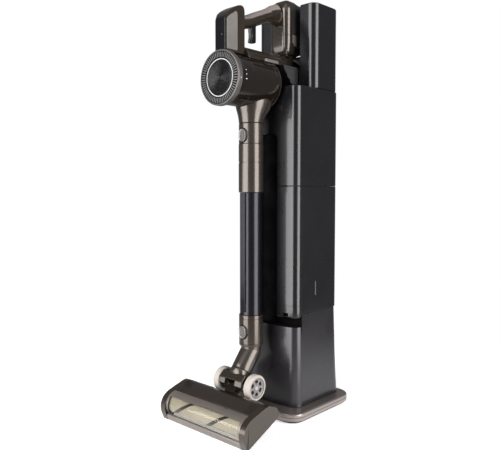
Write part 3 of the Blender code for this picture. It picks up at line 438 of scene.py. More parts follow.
cuts = [cutter_box((-channel, -0.2, 0.1), (channel, channel_back, 0.6), 0.006, 8,
    lambda corner: corner.y > -0.1)]
for hand in (-1, 1):
    near, far = on_side(hand, channel + wall, side - wall)
    cuts.append(cutter_box((near, door_low.y + wall + crown_bow, door_low.z + wall),
        (far, 0, door_high.z - wall), cavity_corner, 10, at_outer_front))
    near, far = on_side(hand, 0.047, 0.060)
    cuts.append(cutter_box((near, -0.2, 0.1), (far, door_low.y + 0.006, door_low.z + 0.0095)))
carve(door, *cuts)
soften(door, 0.0012, 3, 40)
# The channel's faces get the near-black painted shade.
second_finish(door, charcoal_satin, painted_shade_black, in_channel)
complete(door, "bag_door_tray", charcoal_satin, "bag_door", "charcoal_satin", "bag_door")

# ---- Dock: column shells ----
# The two rear mouldings of the tower in the same satin charcoal, meeting the door in fine shadow lines.
# The upper one carries the head of the wand's channel and the dust port, and the lower one a bag level slot.
low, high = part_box("column_lower")
column = footprint(low, high, 0.016, 16, at_rear)
raise_layers([(low.z, 0.0009), (low.z + 0.0005, 0.0004), (low.z + 0.0012, 0), (high.z - 0.0012, 0),
    (high.z - 0.0004, 0.0005), (high.z, 0.0009)])
carve(column, cutter_box((-side + wall, low.y + wall, 0), (side - wall, high.y - wall, 1), cavity_corner,
    10, at_rear), cutter_box((-0.066, -0.2, 0.236), (0.066, 0, 0.455)),
    cutter_box((side - 0.01, 0.0025, 0.247), (0.2, 0.0075, 0.279), 0.0024, 6))
soften(column, 0.0008, 2, 40)
# Its forward-facing faces, inside the recess behind the door, are painted near-black as shade.
second_finish(column, charcoal_satin, painted_shade_black, lambda face: face.normal.y < -0.9)
complete(column, "lower_column_shell", charcoal_satin, "dock", "charcoal_satin", "column_lower")
low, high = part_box("column_upper")
column = crowned(low, high, 0.016, 0.016)
raise_layers([(low.z, 0.0009), (low.z + 0.0004, 0.0005), (low.z + 0.0016, 0), (high.z - 0.0030, 0),
    (high.z - 0.0020, 0.0004), (high.z - 0.0008, 0.0014), (high.z, 0.0028)])
ceiling = high.z - wall
channel_cut = cutter_box((-channel, -0.2, 0.40), (channel, channel_back, 0.590), 0.006, 8,
    lambda corner: corner.y > -0.1)
only(channel_cut)
bpy.ops.object.mode_set(mode="EDIT")
pick(lambda edge: all(v.co.z > 0.58 for v in edge.verts) and all(abs(v.co.x) > 0.03 for v in edge.verts),
    "EDGE")
bpy.ops.mesh.bevel(offset=0.012, segments=10, affect="EDGES")
cuts = [channel_cut, cutter_box((-side + wall, channel_back + wall, 0.4),
    (side - wall, high.y - wall, ceiling), cavity_corner, 10, at_rear)]
for hand in (-1, 1):
    near, far = on_side(hand, channel + wall, side - wall - 0.0003)
    cuts.append(cutter_box((near, low.y + wall + crown_bow, 0.39), (far, channel_back + wall + 0.002,
        ceiling - 0.0003), cavity_corner, 10, at_outer_front))
cuts.append(cutter_box((-0.034, low.y + wall + 0.0003, 0.5925), (0.034, channel_back + wall + 0.003,
    ceiling - 0.0006)))
duct_low, duct_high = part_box("dust_duct")
duct_place = (duct_low + duct_high) / 2


def round_cutter(place, radius, low, high, axis="Z"):
    """A round bar to cut with, between two heights along its axis."""
    clear_bench()
    turn = {"Z": (0, 0, 0), "Y": (-math.pi / 2, 0, 0), "X": (0, math.pi / 2, 0)}[axis]
    centre = Vector(place)
    centre["XYZ".index(axis)] = (low + high) / 2
    bpy.ops.mesh.primitive_cylinder_add(vertices=64, radius=radius, depth=high - low, location=centre,
        rotation=turn)
    bpy.ops.object.transform_apply()
    return bpy.context.object


cuts.append(round_cutter(duct_place, 0.0163, 0.6, 0.8))
carve(column, *cuts)
soften(column, 0.0011, 3, 40)
# The channel's faces below its rounded head are painted near-black as shade.
second_finish(column, charcoal_satin, painted_shade_black, lambda face: in_channel(face)
    and centre_of(face).z < 0.592)
complete(column, "upper_column_shell", charcoal_satin, "dock", "charcoal_satin", "column_upper")

# ---- Dock: level window ----
# A sliver of clear acrylic behind the slot in the lower shell, through which the dust bag shows.
# It snaps in from inside and its polished face sits just below the surface.
clear_acrylic = paint_nodes("clear_acrylic", (90, 90, 94), (118, 118, 122), 0.08, 0.0, 200, 8, 0.00001, 0.3)
set_sockets(clear_acrylic, Transmission_Weight=0.35)
strip = footprint((side - 0.0034, 0.0031, 0.2478), (side - 0.0012, 0.0069, 0.2478), 0.0004, 2)
raise_layers([(0.2478, 0.0003), (0.2483, 0), (0.2777, 0), (0.2782, 0.0003)])
complete(strip, "level_window", clear_acrylic, "dock", "clear_window")

# ---- Dock: posts ----
# A pair of upright horns that guard the handle and the battery, moulded in satin charcoal.
# Their outer edges are broadly rounded and each is plugged into the top of the tower.
hands = ((-1, "left"), (1, "right"))
for hand, label in hands:
    low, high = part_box(f"post_{label}")
    post = footprint(low, high, 0.017, 18, lambda corner: abs(corner.x) > 0.06)
    raise_layers([(low.z, 0.0008), (low.z + 0.0006, 0.0002), (low.z + 0.0016, 0), (high.z - 0.0026, 0),
        (high.z - 0.0012, 0.0005), (high.z - 0.0003, 0.0015), (high.z, 0.0026)])
    near, far = on_side(hand, 0.0425, side - 0.0035)
    carve(post, cutter_box((near, low.y + wall, 0.6), (far, high.y - wall, high.z - wall), 0.0145, 10,
        lambda corner: abs(corner.x) > 0.06))
    soften(post, 0.0008, 2, 60)
    complete(post, f"horn_{label}", charcoal_satin, "dock", "charcoal_satin", f"post_{label}")

# ---- Dock: cradle ----
# The black saddle between the horns that the vacuum hangs on, ribbed so that it is stiff but light.
# It is moulded with the charging contacts inside and screwed down on the tower.


def slab(side_view, left, right):
    """A plate of a given side view, in (y, z) points, between two places across the machine."""
    piece = trace([(left, y, z) for y, z in side_view], True)
    bpy.ops.mesh.extrude_region_move(TRANSFORM_OT_translate={"value": (right - left, 0, 0)})
    bpy.ops.mesh.select_all(action="SELECT")
    bpy.ops.mesh.normals_make_consistent(inside=False)
    return piece


low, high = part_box("cradle")
spine_low, spine_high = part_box("spine")
saddle = slab([(-0.012, low.z), (high.y, low.z), (high.y, high.z), (spine_high.y + 0.006, high.z),
    (spine_high.y + 0.0015, high.z - 0.006), (spine_high.y + 0.0015, spine_low.z - 0.0003),
    (-0.050, spine_low.z - 0.0003), (-0.046, spine_low.z - 0.010)], low.x, high.x)
ribs = []
for step in range(5):
    at = step * 0.0088
    ribs += [cutter_box((edge - 0.0016, -0.036 + at, 0.5), (edge + 0.0016, -0.0305 + at,
        spine_low.z - 0.0045)) for edge in (low.x, high.x)]
carve(saddle, round_cutter(duct_place, 0.014, 0.6, 0.8), *ribs)
soften(saddle, 0.0010, 2, 35)
complete(saddle, "hanging_saddle", black_plastic, "dock", "matte_black", "cradle")

# ---- Dock: dust way and bag ----
# A black tube leads from the saddle down to a clip-in holder, where the mouth of the paper bag is pushed on.
# The bag is thin filter paper, puffed out by the dust in it and creased at its folds.
finish_nodes(black_plastic, "dust_duct")
finish_nodes(housing_satin, "bag_holder")
board_green = paint_nodes("lacquered_board", (16, 66, 40), (34, 98, 62), 0.35, 0.0, 900, 60, 0.0001, 0.4)
finish_nodes(board_green, "circuit_board")
bag_paper = paint_nodes("bag_paper", (186, 166, 136), (208, 190, 162), 0.9, 0.0, 700, 45, 0.0004)
low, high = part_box("dust_bag")
bag = footprint(low, high, 0.020, 6)
raise_layers([(low.z, 0.022), (low.z + 0.004, 0.010), (low.z + 0.020, 0.0035), (low.z + 0.050, 0.0012),
    (low.z + 0.090, 0.0008), (low.z + 0.130, 0.0014), (low.z + 0.165, 0.0040), (low.z + 0.190, 0.0100),
    (high.z - 0.004, 0.022), (high.z, 0.036)])
only(bag)
puff = bag.modifiers.new("puff", "SUBSURF")
puff.levels = puff.render_levels = 2
bpy.ops.object.modifier_apply(modifier="puff")
for corner in bag.data.vertices:
    x, y, z = corner.co
    fold = 0.0012 * math.sin(z * 190 + x * 60) * math.sin(y * 120 + z * 45)
    corner.co.x -= math.copysign(0.0014 + fold, x)
    corner.co.y -= math.copysign(0.0014 + fold, y - (low.y + high.y) / 2)
complete(bag, "dust_bag_full", bag_paper, "dock", "bag_paper", "dust_bag", smooth=60)

# ---- Vacuum: bin barrel and rear cap ----
# The dust bin is a tube of smoked brown polycarbonate, polished, with a stiffening band behind the filter
# cap. A gunmetal cap closes its rear, spun on with a bayonet.


def turned(profile, centre, axis, ring=False, steps=96):
    """A profile of (radius, place along the axis) pairs spun round an axis of the machine."""
    along = "XYZ".index(axis)
    out = (along + 1) % 3
    points = []
    for radius, reach in profile:
        point = list(centre)
        point[along], point[out] = reach, centre[out] + radius
        points.append(point)
    piece = trace(points)
    if ring:
        pick(lambda corner: (corner.co - (Vector(points[0]) - piece.location)).length < 1e-7
            or (corner.co - (Vector(points[-1]) - piece.location)).length < 1e-7, "VERT")
        bpy.ops.mesh.edge_face_add()
        bpy.ops.mesh.select_all(action="SELECT")
    direction = [0, 0, 0]
    direction[along] = 1
    bpy.ops.mesh.spin(steps=steps, angle=math.tau, center=centre, axis=direction)
    bpy.ops.mesh.select_all(action="SELECT")
    bpy.ops.mesh.remove_doubles(threshold=0.000002)
    bpy.ops.mesh.normals_make_consistent(inside=False)
    return piece


def stepped(radius, start, pairs):
    """A profile from (how far in, how far along) pairs, counted from a radius and a place along the axis."""
    return [(radius - inset, start + along) for inset, along in pairs]


wand_bore = 0.019
smoked = paint_nodes("smoked_polycarbonate", (22, 17, 13), (34, 27, 21), 0.12, 0.1, 900, 12, 0.000008, 0.5)
set_sockets(smoked, Transmission_Weight=0.28)
gunmetal = paint_nodes("gunmetal_paint", (56, 51, 47), (72, 66, 61), 0.24, 0.68, 1100, 8, 0.000015, 0.35)
low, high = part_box("bin_barrel")
axis_point = (low + high) / 2
bin_radius = (high.x - low.x) / 2
front, rear = low.y, high.y
barrel = turned(stepped(bin_radius, front, [(0.0008, 0), (0.0001, 0.0006), (0, 0.0060), (0.0007, 0.0066),
    (0.0007, 0.0074), (0, 0.0080), (0, 0.0360), (0.0004, 0.0364), (0.0004, 0.0370),
    (0, 0.0374)]) + stepped(bin_radius, rear, [(0, -0.0120), (0.0006, -0.0114), (0.0006, -0.0104),
    (0, -0.0098), (0, -0.0008), (0.0008, 0), (0.0020, 0)]) + [(bin_radius - 0.0020, front)], axis_point,
    "Y", True, 128)
settle(barrel)
wand_low, wand_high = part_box("wand_tube")
wand_place = (wand_low + wand_high) / 2
carve(barrel, round_cutter(wand_place, wand_bore, 0.60, 0.66))
complete(barrel, "bin_tube", smoked, "vacuum", "smoked_bin", "bin_barrel", smooth=30)
low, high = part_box("rear_cap")
cap = turned([(0, high.y), (0.022, high.y), (0.0226, high.y - 0.0008), (0.0236, high.y - 0.0008),
    (0.0242, high.y), (0.033, high.y), (0.0345, high.y - 0.0003), (0.0450, high.y - 0.0024),
    (0.0470, high.y - 0.0034), (bin_radius - 0.0008, low.y + 0.0030), (bin_radius, low.y + 0.0018),
    (bin_radius, low.y + 0.0004), (bin_radius - 0.0004, low.y), (0, low.y)], axis_point, "Y")
complete(cap, "bin_rear_cap", gunmetal, "vacuum", "gunmetal", "rear_cap", smooth=30)

# ---- Vacuum: what is inside the bin ----
# The black cyclone cone, the steel motor with its impeller and the pleated filter, seen dimly through the
# bin. They push into each other along the bin's axis and are held by the two caps.
finish_nodes(black_plastic, "cyclone_cone")
finish_nodes(turned_steel, "suction_motor", "impeller")
finish_nodes(pleated_filter, "cap_filter")

# ---- Vacuum: filter cap ----
# The round cap over the filter, painted mauve-grey: a band to turn it by, a bright rim and a sunk well coloured
# near-black as painted shade.
# Sixty thin vanes stand in the well round a polished black disc, which a white ring frames.
low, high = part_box("filter_cap")
cap_radius, face = (high.x - low.x) / 2, low.y
cap_paint = paint_nodes("cap_mauve_paint", (72, 69, 68), (92, 88, 87), 0.34, 0.5, 900, 14, 0.00003, 0.1)
cap = turned([(0, high.y), *stepped(cap_radius, high.y, [(0.0016, 0), (0.0004, -0.0006), (0, -0.0016)]),
    *stepped(cap_radius, face, [(0, 0.0022), (0.0004, 0.0010), (0.0012, 0.0003), (0.0020, 0),
    (0.0030, 0.0001), (0.0036, 0.0008), (0.0038, 0.0024)]), (0.0372, face + 0.0024),
    (0.0372, face + 0.0034), (0, face + 0.0034)], axis_point, "Y", steps=128)
# The faces sunk inside the cap's face are painted near-black as shade.
second_finish(cap, cap_paint, painted_shade_black, lambda spot: centre_of(spot).y > face + 0.0009
    and (centre_of(spot) - axis_point).xz.length < cap_radius - 0.0030 and spot.normal.y < 0.5)
complete(cap, "cap_band", cap_paint, "filter_cap", "soft_mauve", "filter_cap", smooth=28)
# A near-black ring under the vanes: painted shade in the bottom of the well.
well = turned([(cap_radius - 0.0039, face + 0.0019), (cap_radius - 0.0042, face + 0.0017),
    (0.0374, face + 0.0017), (0.0374, face + 0.0023), (cap_radius - 0.0039, face + 0.0023)], axis_point,
    "Y", True)
black_gloss = paint_nodes("black_gloss", (8, 8, 10), (14, 14, 17), 0.12, 0.0, 500, 18, 0.000005, 0.15)
complete(well, "cap_well", painted_shade_black, "filter_cap", "black_gloss")
vane_grey = paint_nodes("vane_grey", (84, 83, 83), (108, 107, 107), 0.5, 0.3, 700, 60, 0.00002)
vane = footprint((-0.0008, face + 0.0004, axis_point.z + 0.0389), (0.0008, face + 0.0016,
    axis_point.z + 0.0389))
raise_layers([(axis_point.z + 0.0389, 0.0003), (axis_point.z + 0.0393, 0.0001), (axis_point.z + 0.0486, 0),
    (axis_point.z + 0.0490, 0.0003)])
bpy.ops.mesh.select_all(action="SELECT")
bpy.ops.mesh.spin(steps=60, dupli=True, angle=math.tau, center=axis_point, axis=(0, 1, 0))
bpy.ops.mesh.select_all(action="SELECT")
bpy.ops.mesh.remove_doubles(threshold=0.000001)
complete(vane, "cap_vanes", vane_grey, "filter_cap", "soft_mauve")
low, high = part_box("cap_ring")
ring_radius = (high.x - low.x) / 2
ring_white = paint_nodes("ring_white", (176, 177, 180), (192, 192, 195), 0.35, 0.0, 600, 20, 0.00001, 0.4)
ring = turned([(ring_radius, high.y), (ring_radius, low.y + 0.0005), (ring_radius - 0.0006, low.y),
    (ring_radius - 0.0013, low.y), (ring_radius - 0.0018, low.y + 0.0005), (ring_radius - 0.0018, high.y)],
    axis_point, "Y", True)
complete(ring, "cap_white_ring", ring_white, "filter_cap", "white_ring", "cap_ring")
spun_black = paint_nodes("spun_black", (6, 6, 8), (10, 10, 12), 0.16, 0.0, 500, 20, 0.000005, 0.1)
set_sockets(spun_black, Specular_IOR_Level=0.35)
spun_nodes, spun_links = spun_black.node_tree.nodes, spun_black.node_tree.links
centred = add(spun_nodes, "Mapping", Location=(0, 0, -axis_point.z))
grooves = add(spun_nodes, "TexWave", Scale=420, Distortion=0.4)
grooves.wave_type, grooves.rings_direction = "RINGS", "Y"
spun = add(spun_nodes, "Bump", Distance=0.00004)
wire(spun_links, (spun_nodes["Texture Coordinate"], "Object", centred, "Vector"),
    (centred, "Vector", grooves, "Vector"), (grooves, "Fac", spun, "Height"),
    (spun, "Normal", spun_nodes["Principled BSDF"], "Normal"))
inner = ring_radius - 0.0022
disc = turned([(0, face + 0.0026), (0.012, face + 0.0024), (0.024, face + 0.0019),
    (inner - 0.0010, face + 0.0013), (inner - 0.0002, face + 0.0015), (inner, face + 0.0020),
    (inner, face + 0.0033), (0, face + 0.0033)], axis_point, "Y")
complete(disc, "cap_disc", spun_black, "filter_cap", "black_gloss")

# ---- Vacuum: turning marks ----
# A white dot on the cap's band and two pale marks on the bin, which line up when the cap is locked.
# They are printed in thick ink, so each stands a hair above the surface.


def mark(size, bearing, along, name, body):
    """A small round-cornered patch of ink on the bin or its cap, at a bearing round the axis."""
    patch = footprint((-size[0] / 2, -size[1] / 2, 0), (size[0] / 2, size[1] / 2, 0), min(size) * 0.42, 5)
    raise_layers([(0, 0), (0.00022, 0.00008)])
    bpy.ops.mesh.select_all(action="SELECT")
    bpy.ops.transform.translate(value=(0, along, size[2] + axis_point.z))
    bpy.ops.transform.rotate(value=-math.radians(bearing), orient_axis="Y",
        center_override=(0, along, axis_point.z))
    complete(patch, name, ring_white, body, "white_ring")


mark((0.0022, 0.0022, cap_radius - 0.00005), 96, -0.1972, "cap_dot", "filter_cap")
mark((0.0018, 0.0040, bin_radius - 0.00005), 96, -0.1785, "lock_mark_closed", "vacuum")
mark((0.0016, 0.0026, bin_radius - 0.00005), 76, -0.1785, "lock_mark_open", "vacuum")
mark((0.0036, 0.0012, bin_radius - 0.00005), 86, -0.1785, "lock_mark_line", "vacuum")

# ---- Vacuum: saddle spine ----
# A brown gunmetal moulding that hugs the top of the bin and carries the grip; it runs back over the dock's
# saddle. It is shaped like a roof, and two screws through the rear cap hold it.
brown_gunmetal = paint_nodes("brown_gunmetal", (45, 39, 33), (60, 52, 45), 0.21, 0.55, 1000, 10, 0.000015,
    0.4)
low, high = spine_low, spine_high
hug = bin_radius + 0.0006
section = [(hug * math.sin(a), axis_point.z + hug * math.cos(a)) for a in [math.radians(d)
    for d in range(-34, 35, 4)]]
roof = section + [(0.0270, 0.7390), (0.0215, 0.7475), (0.0155, 0.7540), (0.0080, high.z), (-0.0080, high.z),
    (-0.0155, 0.7540), (-0.0215, 0.7475), (-0.0270, 0.7390)]
spine = trace([(x, low.y, z) for x, z in roof], True)
bpy.ops.mesh.extrude_region_move(TRANSFORM_OT_translate={"value": (0, 0.115, 0)})
soften(spine, 0.0030, 4, 24)
complete(spine, "bin_saddle", brown_gunmetal, "vacuum", "gunmetal", smooth=60)
tail = slab([(-0.0668, low.z), (-0.0668, high.z - 0.0012), (-0.0300, high.z - 0.0005),
    (0.0100, high.z - 0.0050), (0.0300, high.z - 0.0120), (high.y, 0.7385), (high.y, low.z)], -0.0168,
    0.0168)
soften(tail, 0.0028, 4, 30)
complete(tail, "spine_tail", brown_gunmetal, "vacuum", "gunmetal", "spine", smooth=60)

# ---- Vacuum: front block ----
# The upright nose above the filter cap: a brown core that wraps over the top, a gloss black face for the
# display, and a pale satin panel let into each flank. The panels clip into the core.
low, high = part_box("front_block")
core = slab([(low.y + 0.0012, low.z), (-0.1905, low.z), (-0.1905, 0.7405), (high.y, 0.7405),
    (high.y, 0.8225), (high.y - 0.0012, 0.8292), (high.y - 0.0048, 0.8330), (high.y - 0.0100, high.z),
    (high.y - 0.0180, 0.8322), (high.y - 0.0280, 0.8272), (high.y - 0.0390, 0.8205),
    (high.y - 0.0470, 0.8135), (low.y + 0.0026, 0.8060), (low.y + 0.0012, 0.8010)], low.x, high.x)
soften(core, 0.0020, 5, 50)
second_finish(core, brown_gunmetal, black_gloss, lambda spot: centre_of(spot).y < low.y + 0.0034
    and centre_of(spot).z < 0.8050)
complete(core, "nose_core", brown_gunmetal, "vacuum", "gunmetal", "front_block", smooth=60)
glass = slab([(low.y, low.z + 0.0012), (low.y + 0.0030, low.z + 0.0008), (low.y + 0.0030, 0.8000),
    (-0.1900, 0.8118), (-0.1800, 0.8188), (-0.1812, 0.8204), (-0.1908, 0.8138), (low.y + 0.0012, 0.8062),
    (low.y, 0.8015)], low.x + 0.0022, high.x - 0.0022)
soften(glass, 0.0008, 3, 40)
complete(glass, "nose_display", black_gloss, "vacuum", "black_gloss")
# A small pale disc on the display face: a painted glint standing in for a reflection of a light.
glint = turned([(0, low.y - 0.00002), (0.0011, low.y - 0.00002), (0.0014, low.y + 0.0002),
    (0.0014, low.y + 0.0006), (0, low.y + 0.0006)], Vector((0.0035, 0, 0.7720)), "Y", steps=24)
bright_trim = paint_nodes("bright_trim", (88, 85, 82), (112, 109, 106), 0.26, 0.7, 700, 20, 0.00001, 0.3)
complete(glint, "display_painted_glint", bright_trim, "vacuum", "bright_trim")
pale_satin = paint_nodes("pale_satin", (98, 94, 91), (116, 112, 108), 0.34, 0.45, 900, 12, 0.00001, 0.2)
for hand, label in hands:
    near, far = on_side(hand, high.x - 0.0012, high.x + 0.0004)
    panel = slab([(low.y + 0.0036, 0.7446), (-0.1700, 0.7446), (-0.1676, 0.7470), (-0.1676, 0.8150),
        (-0.1690, 0.8186), (-0.1724, 0.8196), (-0.1850, 0.8118), (low.y + 0.0062, 0.8052),
        (low.y + 0.0034, 0.8010), (low.y + 0.0034, 0.7454)], near, far)
    soften(panel, 0.00035, 2, 50)
    complete(panel, f"nose_panel_{label}", pale_satin, "vacuum", "soft_mauve")

# ---- Vacuum: grip ----
# The bar that the hand closes round: brown gunmetal below, with a soft mauve pad moulded over its top.
# It springs from the nose and climbs to the handle's head, thickening a little as it goes.


def swept(stations, sides=40):
    """A bar lofted along the machine's middle plane: (y, z, lean in degrees, half width, half height) at each station."""
    clear_bench()
    y, z, lean, half, tall = stations[0]
    bpy.ops.mesh.primitive_circle_add(vertices=sides, radius=1, fill_type="NGON", location=(0, y, z))
    piece = bpy.context.object
    bpy.ops.object.mode_set(mode="EDIT")
    bpy.ops.mesh.select_all(action="SELECT")
    bpy.ops.transform.resize(value=(half, tall, 1))
    tip(lean, (0, y, z))
    for before, (y, z, lean, half, tall) in zip(stations, stations[1:]):
        bpy.ops.mesh.extrude_region_move(TRANSFORM_OT_translate={"value": (0, y - before[0],
            z - before[1])})
        tip(-before[2], (0, y, z))
        bpy.ops.transform.resize(value=(half / before[3], tall / before[4], 1), center_override=(0, y, z))
        tip(lean, (0, y, z))
    bpy.ops.mesh.select_all(action="SELECT")
    bpy.ops.mesh.normals_make_consistent(inside=False)
    return piece


def tip(degrees, centre):
    """Leans the selection about a line across the machine, foot towards the user for a positive angle."""
    if degrees:
        bpy.ops.transform.rotate(value=math.radians(degrees), orient_axis="X", center_override=centre)


soft_mauve = paint_nodes("soft_mauve_pad", (104, 95, 93), (122, 113, 110), 0.52, 0.1, 1300, 14, 0.00006)
grip_low, grip_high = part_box("grip")
half = (grip_high.x - grip_low.x) / 2
grip = swept([(y, z, lean, half * wide, half * tall) for y, z, lean, wide,
    tall in ((grip_low.y, 0.8062, 90, 0.90, 0.92), (-0.1400, 0.8068, 88, 0.92, 0.94),
    (-0.1300, 0.8092, 80, 0.95, 0.96), (-0.1180, 0.8135, 70, 0.98, 0.98), (-0.1050, 0.8193, 66, 1, 1),
    (-0.0900, 0.8256, 67, 1, 1), (-0.0750, 0.8318, 67, 1, 1), (-0.0600, 0.8368, 67, 1, 1.15),
    (-0.0480, 0.8396, 68, 1.02, 1.45), (grip_high.y, 0.8420, 72, 1.05, 1.80))])


def on_pad(face):
    """Whether a face of the grip is under the soft pad."""
    return face.normal.z > 0.30 and abs(face.normal.y) < 0.85


pick(on_pad)
bpy.ops.mesh.inset(thickness=0.0003, depth=0.0)
bpy.ops.mesh.inset(thickness=0.0007, depth=0.0006)
second_finish(grip, brown_gunmetal, soft_mauve, on_pad)
trigger_low, trigger_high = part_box("trigger")
carve(grip, cutter_box((trigger_low.x - 0.0006, trigger_low.y - 0.0006, 0.79),
    (trigger_high.x + 0.0006, trigger_high.y + 0.0006, trigger_high.z + 0.0040)))
complete(grip, "grip_bar", brown_gunmetal, "vacuum", "soft_mauve", "grip", smooth=40)

# ---- Vacuum: trigger ----
# A black sprung finger pull, hollowed at the front for the fingertip and faced in pale grey.
# It slides up into a pocket in the grip against a spring.
low, high = trigger_low, trigger_high
pull = slab([(low.y + 0.0030, low.z), (high.y - 0.0020, low.z + 0.0006), (high.y, low.z + 0.0030),
    (high.y, high.z), (low.y, high.z), (low.y, 0.8010), (low.y + 0.0014, 0.7950), (low.y + 0.0026, 0.7885),
    (low.y + 0.0026, 0.7830), (low.y + 0.0014, 0.7775), (low.y, 0.7735), (low.y + 0.0008, low.z + 0.0010)],
    low.x, high.x)
soften(pull, 0.0009, 3, 40)
bpy.ops.object.mode_set(mode="EDIT")
pick(lambda face: face.normal.y < -0.7 and centre_of(face).z < 0.7990)
bpy.ops.mesh.inset(thickness=0.0012, depth=0.00025)
second_finish(pull, black_gloss, pale_satin, lambda face: face.normal.y < -0.7
    and centre_of(face).z < 0.7990 and abs(centre_of(face).x) < 0.0032)
complete(pull, "trigger_pull", black_gloss, "trigger", "black_gloss", "trigger")

# ---- Vacuum: handle column ----
# The upright part behind the hand, in gunmetal: round-shouldered, domed at the top where the grip runs into
# it, and drawn in to a point at its foot. The battery slides up its back.
low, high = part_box("handle_column")
battery_low, battery_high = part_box("battery_case")
handle_back = battery_low.y - 0.0003
handle = footprint((low.x, low.y, 0.7600), (high.x, handle_back, 0.7600), 0.0135, 12,
    lambda corner: corner.y < -0.02)
raise_layers([(0.7600, 0.0095), (0.7640, 0.0062), (0.7700, 0.0036), (0.7780, 0.0016), (0.7860, 0.0004),
    (0.7930, 0), (0.7996, 0), (0.8000, 0.0005), (0.8008, 0.0005), (0.8012, 0), (0.8480, 0),
    (0.8560, 0.0004), (0.8620, 0.0013), (0.8670, 0.0028), (0.8710, 0.0052), (0.8738, 0.0080),
    (0.8754, 0.0108), (high.z, 0.0140)])
settle(handle)
handle_middle = (low.y + handle_back) / 2
for corner in handle.data.vertices:
    if corner.co.y > handle_middle:
        corner.co.y += (handle_back - corner.co.y) * min(1,
            (corner.co.y - handle_middle) / (handle_back - handle_middle) * 2)
complete(handle, "handle_shell", gunmetal, "vacuum", "gunmetal", "handle_column", smooth=50)
for hand, label in hands:
    near, far = on_side(hand, high.x - 0.0012, high.x + 0.0004)
    insert = slab([(-0.0105, 0.8050), (0.0030, 0.8050), (0.0030, 0.8560), (-0.0060, 0.8575),
        (-0.0105, 0.8540)], near, far)
    soften(insert, 0.0003, 2, 50)
    carve(insert, *[cutter_box((hand * (high.x + 0.0010) - 0.0009, -0.0092, 0.8074 + step * 0.0034),
        (hand * (high.x + 0.0010) + 0.0009, 0.0018, 0.8088 + step * 0.0034)) for step in range(14)])
    complete(insert, f"handle_ribs_{label}", black_plastic, "vacuum", "matte_black")
    panel = slab([(-0.0105, 0.8030), (0.0030, 0.8030), (0.0030, 0.7800), (-0.0040, 0.7800),
        (-0.0105, 0.7870)], near, far)
    soften(panel, 0.0003, 2, 50)
    complete(panel, f"handle_panel_{label}", pale_satin, "vacuum", "soft_mauve")
crown = slab([(handle_back, battery_high.z + 0.0004), (0.0415, battery_high.z + 0.0004),
    (0.0400, battery_high.z + 0.0016), (0.0240, 0.8726), (0.0120, 0.8748), (handle_back, high.z - 0.0002)],
    low.x + 0.0120, high.x - 0.0120)
button_low, button_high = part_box("battery_button")
carve(crown, cutter_box((button_low.x - 0.0010, button_low.y - 0.0010, 0.86),
    (button_high.x + 0.0010, 0.06, 0.88)))
soften(crown, 0.0016, 4, 30)
complete(crown, "handle_crown", gunmetal, "vacuum", "gunmetal")
foot = slab([(-0.0225, 0.7565), (-0.0015, 0.7562), (0.0060, 0.7580), (0.0400, 0.7718), (0.0405, 0.7742),
    (-0.0240, 0.7742)], low.x + 0.0060, high.x - 0.0060)
soften(foot, 0.0030, 4, 24)
complete(foot, "handle_foot", brown_gunmetal, "vacuum", "gunmetal", smooth=60)

# ---- Vacuum: battery ----
# The removable pack behind the handle: black plastic, cross-ribbed for the fingers, over a gunmetal foot.
# Its cells sit inside, and a bright release button is let into its top.
low, high = battery_low, battery_high
pack = footprint(low, high, 0.0095, 10, lambda corner: corner.y > 0.03)
layers = [(low.z, 0.0016), (low.z + 0.0016, 0), (0.7996, 0), (0.8000, 0.0005), (0.8008, 0.0005),
    (0.8012, 0)]
for step in range(17):
    rib = 0.8040 + step * 0.0034
    layers += [(rib, 0), (rib + 0.0003, 0.0005), (rib + 0.0016, 0.0005), (rib + 0.0019, 0)]
raise_layers(layers + [(high.z - 0.0024, 0), (high.z - 0.0008, 0.0009), (high.z, 0.0024)])
carve(pack, cutter_box((low.x + 0.0024, low.y - 0.01, low.z + 0.003),
    (high.x - 0.0024, high.y - 0.003, high.z - 0.007)), cutter_box((button_low.x - 0.0003,
    button_low.y - 0.0003, button_low.z - 0.0018), (button_high.x + 0.0003, button_high.y + 0.0003, 0.9),
    0.0023, 6))
complete(pack, "battery_shell", black_plastic, "battery", "black_gloss", "battery_case", smooth=30)
sleeve = footprint((low.x - 0.0002, low.y + 0.0001, low.z + 0.0020), (high.x + 0.0002, high.y + 0.0002, 0),
    0.0096, 10, lambda corner: corner.y > 0.03)
raise_layers([(low.z + 0.0020, 0.0003), (low.z + 0.0023, 0), (0.7986, 0), (0.7989, 0.0003)])
carve(sleeve, cutter_box((low.x + 0.0004, low.y - 0.01, 0.77), (high.x - 0.0004, high.y - 0.0004, 0.81),
    0.0092, 10, lambda corner: corner.y > 0.03))
complete(sleeve, "battery_foot", gunmetal, "battery", "gunmetal", smooth=30)
cell_wrap = paint_nodes("cell_wrap", (32, 68, 120), (46, 88, 146), 0.35, 0.0, 400, 20, 0.00003, 0.3)
finish_nodes(cell_wrap, "cell_pack")
low, high = button_low, button_high
press = footprint(low, high, 0.0020, 6)
raise_layers([(low.z, 0), (high.z - 0.0008, 0), (high.z - 0.0002, 0.0003), (high.z, 0.0008),
    (high.z - 0.0003, 0.0022)])
complete(press, "battery_press", bright_trim, "battery_button", "bright_trim", "battery_button")

# ---- Vacuum: bin latch ----
# A satin grey slide on the bin's shoulder that lets the bin's floor drop open, ribbed for the thumb.
# It runs in a short track beside the saddle.
low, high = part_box("bin_latch")
slide = footprint((low.x, low.y, low.z), (high.x, high.y, low.z), 0.0016, 5)
raise_layers([(low.z, 0.0004), (low.z + 0.0005, 0), (high.z - 0.0012, 0), (high.z - 0.0004, 0.0004),
    (high.z, 0.0012)])
grooves = [cutter_box((low.x - 0.01, low.y + 0.008 + step * 0.0024, high.z - 0.0006),
    (high.x + 0.01, low.y + 0.0092 + step * 0.0024, high.z + 0.01)) for step in range(6)]
carve(slide, *grooves)
complete(slide, "latch_slide_bar", pale_satin, "bin_latch", "charcoal_satin", "bin_latch")

